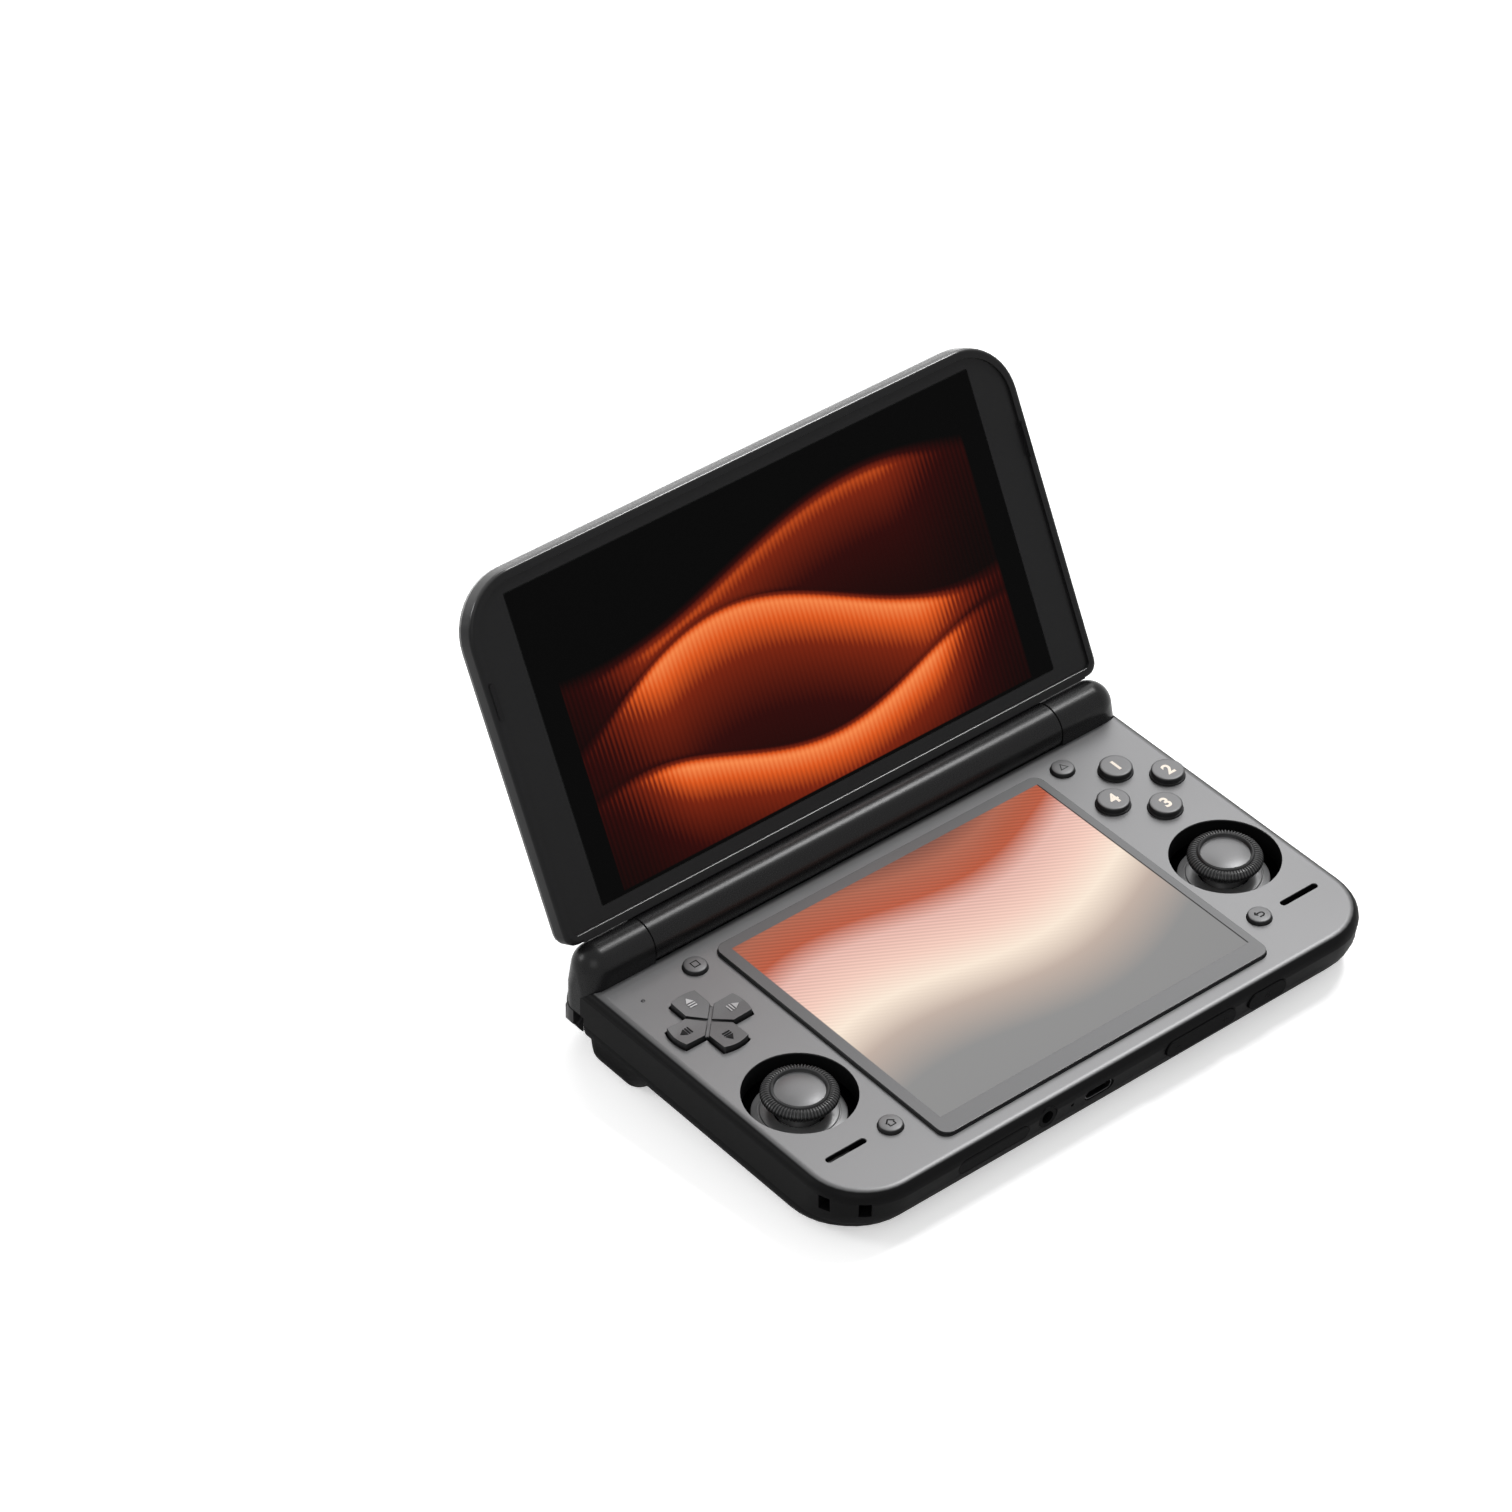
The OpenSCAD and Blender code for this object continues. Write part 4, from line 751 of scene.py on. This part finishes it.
# ---- Front wall keys -------------------------------------------------------------------------
# A volume rocker and a power button: pill-shaped caps in black plastic that stand just proud of
# the wall, with a small raised minus, plus and power mark.
for node, name in (("volume_rocker", "volume_key"), ("power_button", "power_key")):
    key = from_solid(node, name, 0.18)
    coat(key, cover_finish)
    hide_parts(node)
    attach(key, node)
wall_y = -42.45
wall_z = -4.9
wall_mark_wide, wall_mark_thick = 0.3, 0.06
upright = Matrix.Rotation(math.radians(90), 4, "X")
ring = 0.75
open_ring = [(ring * math.cos(math.radians(angle)), ring * math.sin(math.radians(angle)))
             for angle in range(125, 416, 29)]
bar = ([(-0.8, 0), (0.8, 0)], False)
for name, body, x, strokes in (
        ("minus", "volume_rocker", 16.6, [bar]),
        ("plus", "volume_rocker", 32.6, [bar, ([(0, -0.8), (0, 0.8)], False)]),
        ("power", "power_button", 47.5, [(open_ring, False), ([(0, 0.2), (0, 1.0)], False)])):
    sign = stroked("wall_mark_" + name, strokes, wall_mark_wide, 0, wall_mark_thick)
    sign.data.transform(upright)
    coat(sign, cover_finish)
    settle(sign, (x, wall_y, wall_z))
    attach(sign, body)

# ---- Ports and small openings ----------------------------------------------------------------
# The charging socket is a drawn steel shell, the audio jack a black plastic barrel in a sunk ring,
# the card door a thin black plastic flap; a clear light pipe ends under the deck's small hole.
steel = flecked("drawn_steel", (0.06, 0.06, 0.062), (0.09, 0.09, 0.092), 2.5, 3, (0.15, 0.28),
                Metallic=1.0)
clear = flecked("light_pipe_acrylic", (0.02, 0.02, 0.022), (0.05, 0.05, 0.055), 1.5, 2,
                Roughness=0.25)
for node, name, edge, finish, slot_name in (
        ("audio_jack", "audio_jack_barrel", 0.1, cover_finish, "inner_plastic"),
        ("card_door", "card_door_flap", 0.1, cover_finish, "cover_black"),
        ("light_pipe", "status_light", 0.05, clear, "light_pipe")):
    part = from_solid(node, name, edge)
    coat(part, finish)
    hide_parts(node)
    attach(part, "card_door" if node == "card_door" else "base")

# ---- Shoulder caps and hinge barrel ----------------------------------------------------------
# The hinge turns in a long black barrel on the lid between two caps on the base, each a barrel
# with a ball end that flows into the rear corner. All are satin black plastic over metal pins.
hinge_black = (0.006, 0.006, 0.0063)
hinge_finish = moulded("hinge_plastic", hinge_black, 0.27, deck, grain=4.5,
                       Specular_IOR_Level=0.18)
for side in ("left", "right"):
    cap = from_solid(side + "_hinge_cap", side + "_shoulder_cap", 0.2, 30)
    coat(cap, hinge_finish)
    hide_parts(side + "_hinge_cap")
    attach(cap, "base")

lid_open = joints["lid_hinge"]["range_deg"][0]
lid = (Matrix.Translation(Vector(joints["lid_hinge"]["pos_m"]))
       @ Matrix.Rotation(math.radians(-lid_open), 4, "X") @ deck.to_3x3().to_4x4())
lid_mm = lid @ millimetres
lid_out = (lid.to_3x3() @ Vector((0, 0, 1))).normalized()
barrel_finish = moulded("barrel_plastic", hinge_black, 0.27, lid, grain=4.5,
                        Specular_IOR_Level=0.18)
barrel = from_solid("hinge_barrel", "lid_barrel", 0.2)
coat(barrel, barrel_finish)
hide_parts("hinge_barrel")
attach(barrel, "lid")

# ---- Lid -------------------------------------------------------------------------------------
# Two black plastic mouldings: a front frame with a raised rim round the sunk bezel, and a smooth
# satin back cover. A cover strip hides the flexible cable behind the barrel.
bezel_black = (0.01, 0.01, 0.0104)
bezel_finish = moulded("bezel_plastic", bezel_black, 0.32, lid, Specular_IOR_Level=0.12,
                       Coat_Roughness=0.2)
back_black = (0.008, 0.008, 0.0085)
back_finish = moulded("lid_back_plastic", back_black, 0.34, lid, Specular_IOR_Level=0.2,
                      Coat_Roughness=0.2)
lid_near = 6.7
frame_rim_w = 2.5
frame_rim_up = 0.5
lid_up = (lid.to_3x3() @ Vector((0, 1, 0))).normalized()
# Painted highlight: a clear coat only on faces turned towards the lid's top, where the lamp's line
# of light falls.
for finish in (bezel_finish, back_finish):
    upward = facing(Tone(finish.node_tree), lid_up)
    feed(finish, Coat_Weight=upward.rise(0.35, 0.8, "LINEAR"))
to_lid = lid_mm.inverted()


def near_ridge(point):
    """True on the inner edge of the frame's rim beside the hinge."""
    place = to_lid @ point
    return abs(place.y - lid_near - frame_rim_w) < 0.2 and abs(place.z - frame_rim_up) < 0.15


for node, name, edge, finish, slot_name in (
        ("lid_frame", "lid_front_frame", 0.35, bezel_finish, "bezel_black"),
        ("lid_back_cover", "lid_back_housing", 0.25, back_finish, "cover_black"),
        ("hinge_cover", "cable_cover", 0.2, back_finish, "cover_black")):
    part = from_solid(node, name, edge, ridge=near_ridge if node == "lid_frame" else None)
    coat(part, finish)
    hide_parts(node)
    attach(part, "lid")

# ---- Upper screen ----------------------------------------------------------------------------
# A flat pane of dark glass bonded into the frame. Behind it the picture glows: three soft dunes
# of orange light that fade down to dark red and black, with fine upright ribs.
upper_x = (-69, 69)
upper_y = (13.9, 97.5)
upper_finish, tone = material("upper_picture", Roughness=0.12, Specular_IOR_Level=0.03,
                              Emission_Strength=1.0)
place = in_mm(tone, lid)
x, y = place.part("X"), place.part("Y")
lit = inside(x, y, upper_x, upper_y)
rib = (x * 4.4).math("SINE") * 0.5 + 0.5
glow = None
for crest, swing, wave, phase, reach, bright in (
        (80, 9, 0.034, 0.4, 17, 0.68),
        (60, 12, 0.041, 2.3, 22, 0.92),
        (35, 7, 0.05, 4.4, 17, 1.0)):
    line = (x * wave + phase).math("SINE") * swing + crest
    below = (line - y).math("MAXIMUM", 0)
    start = below.rise(0, 5)
    dune = start * (below * (-1 / reach)).math("EXPONENT") * bright
    glow = (glow * (1 - start * 0.75)).math("MAXIMUM", dune) if glow else dune
middle = 1 - x.math("ABSOLUTE").rise(38, 70)
level = glow * (middle * 0.7 + 0.3) * (1 - rib * (0.5 - middle * 0.42))
fire = tone.node("ValToRGB", {0: level}, stops=(
    (0.0, dark), (0.2, (0.028, 0.001, 0.0005)), (0.42, (0.19, 0.016, 0.003)),
    (0.58, (0.72, 0.1, 0.013)), (0.76, (0.95, 0.27, 0.08)), (1.0, (1.0, 0.68, 0.46))))
off_black = mixed(noise(place, 2, 1), (0.0008, 0.0008, 0.0008), (0.0016, 0.0016, 0.0016))
feed(upper_finish, Base_Color=off_black, Emission_Color=mixed(lit, dark, fire))
upper_screen = from_solid("upper_glass", "upper_screen", 0.06)
faced(upper_screen, upper_finish, bezel_finish, lid_out)
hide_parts("upper_glass")
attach(upper_screen, "lid")

# ---- Shoulder keys ---------------------------------------------------------------------------
# A slim bumper over a larger curved trigger in each rear corner, plain black plastic. Each turns
# in a bracket inside the corner.
key_finish = moulded("shoulder_key_plastic", (0.01, 0.01, 0.0105), 0.38, deck,
                     Specular_IOR_Level=0.3)
for side in ("left", "right"):
    for kind in ("bumper", "trigger"):
        key = from_solid(side + "_" + kind, side + "_" + kind + "_key", 0.35, 35)
        coat(key, key_finish)
        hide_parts(side + "_" + kind)
        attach(key, side + "_" + kind)

# ---- Gasket, feet and bump stops -------------------------------------------------------------
# Soft black rubber: the seal round the touch panel, the four feet stuck in their recesses, and
# the small stops on the lid's rim that keep it off the deck when it is shut.
rubber_black = (0.012, 0.012, 0.0125)


def repaint(finish, *nodes):
    """Gives solids whose shape is right a better finish."""
    for node in nodes:
        piece = frame["nodes"][node]
        piece.data.materials.clear()
        piece.data.materials.append(finish)


seal_finish = moulded("seal_rubber", rubber_black, 0.7, deck, grain=1.6, relief=0.02)
stop_finish = moulded("stop_rubber", (0.009, 0.009, 0.0094), 0.6, lid, grain=1.6, relief=0.02,
                      Specular_IOR_Level=0.1)
repaint(seal_finish, "lower_gasket", "feet")
repaint(stop_finish, "lid_pads")

# ---- Metal parts -----------------------------------------------------------------------------
# Turned steel hinge pins and stick frames, pressed steel shells of the sockets, and the small
# black-plated screws that hold the base together.
plated = flecked("plated_screw", (0.03, 0.03, 0.032), (0.06, 0.06, 0.063), 3.5, 3, (0.2, 0.3),
                 Metallic=1.0)
repaint(steel, "hinge_pins", "usb_socket", "card_reader", "left_click_frame", "right_click_frame")
repaint(plated, "base_screws")

# ---- Stick works, key works and bushes -------------------------------------------------------
# Slippery acetal for what rubs: gimbal rings, stems, the pad's post and the hinge bushes. The
# housings, brackets, frame and the pad's spider are glass-filled nylon, the key domes silicone.
acetal = moulded("acetal", (0.55, 0.55, 0.53), 0.35, deck, grain=2.0, relief=0.004)
nylon = moulded("filled_nylon", (0.03, 0.03, 0.031), 0.5, deck, grain=1.2, relief=0.015)
silicone = moulded("dome_silicone", (0.22, 0.23, 0.23), 0.6, deck, grain=1.0, relief=0.01)
repaint(acetal, "left_gimbal_ring", "right_gimbal_ring", "left_stick_stem", "right_stick_stem",
        "pad_post", "hinge_bushes")
repaint(nylon, "stick_housings", "pad_spider", "trigger_brackets", "side_switches", "mid_frame")
repaint(silicone, "dome_mats")

# ---- Boards, battery and sound ---------------------------------------------------------------
# The main board is green solder mask over copper lanes, with the pouch battery in foil film
# beside it. The speakers have the dull black of their paper cones.
board, tone = material("solder_mask", Coat_Weight=0.3)
place = in_mm(tone, deck)
lanes = tone.node("TexVoronoi", {"Vector": place, "Scale": 0.45}, out="Distance",
                  feature="DISTANCE_TO_EDGE", distance="MANHATTAN")
lane = lanes.rise(0.03, 0.06, "LINEAR")
stain = noise(place, 0.8, 3)
mask_green = mixed(stain, (0.006, 0.035, 0.014), (0.009, 0.05, 0.02))
feed(board, Base_Color=mixed(lane, (0.02, 0.09, 0.035), mask_green),
     Roughness=stain * 0.15 + 0.3, Normal=bumps(lane, 0.6, 0.03))
foil = moulded("battery_film", (0.05, 0.052, 0.056), 0.35, deck, grain=0.35, relief=0.05,
               Metallic=0.6)
cone_paper = moulded("speaker_cone", (0.018, 0.018, 0.018), 0.75, deck, grain=2.2, relief=0.03)
repaint(board, "main_board")
repaint(foil, "battery")
repaint(cone_paper, "speakers")

# ---- Cooling ---------------------------------------------------------------------------------
# A blower in a nylon case draws air through the slots underneath and pushes it over a heat sink
# of folded copper, which has gone slightly dull.
copper = flecked("dull_copper", (0.75, 0.32, 0.18), (0.45, 0.2, 0.12), 0.4, 4, (0.3, 0.22),
                 Metallic=1.0)
repaint(nylon, "fan_housing", "fan_rotor")
repaint(copper, "heat_sink")

# ---- Display panels --------------------------------------------------------------------------
# A thin panel in a pressed tray is bonded behind each pane of glass. The tray is unseen, and the
# picture is shown by the glass.
for node, axes in (("lower_display", deck), ("upper_display", lid)):
    tray = moulded(node + "_tray", (0.09, 0.09, 0.095), 0.35, axes, grain=0.8, relief=0.01,
                   Metallic=0.7)
    repaint(tray, node)
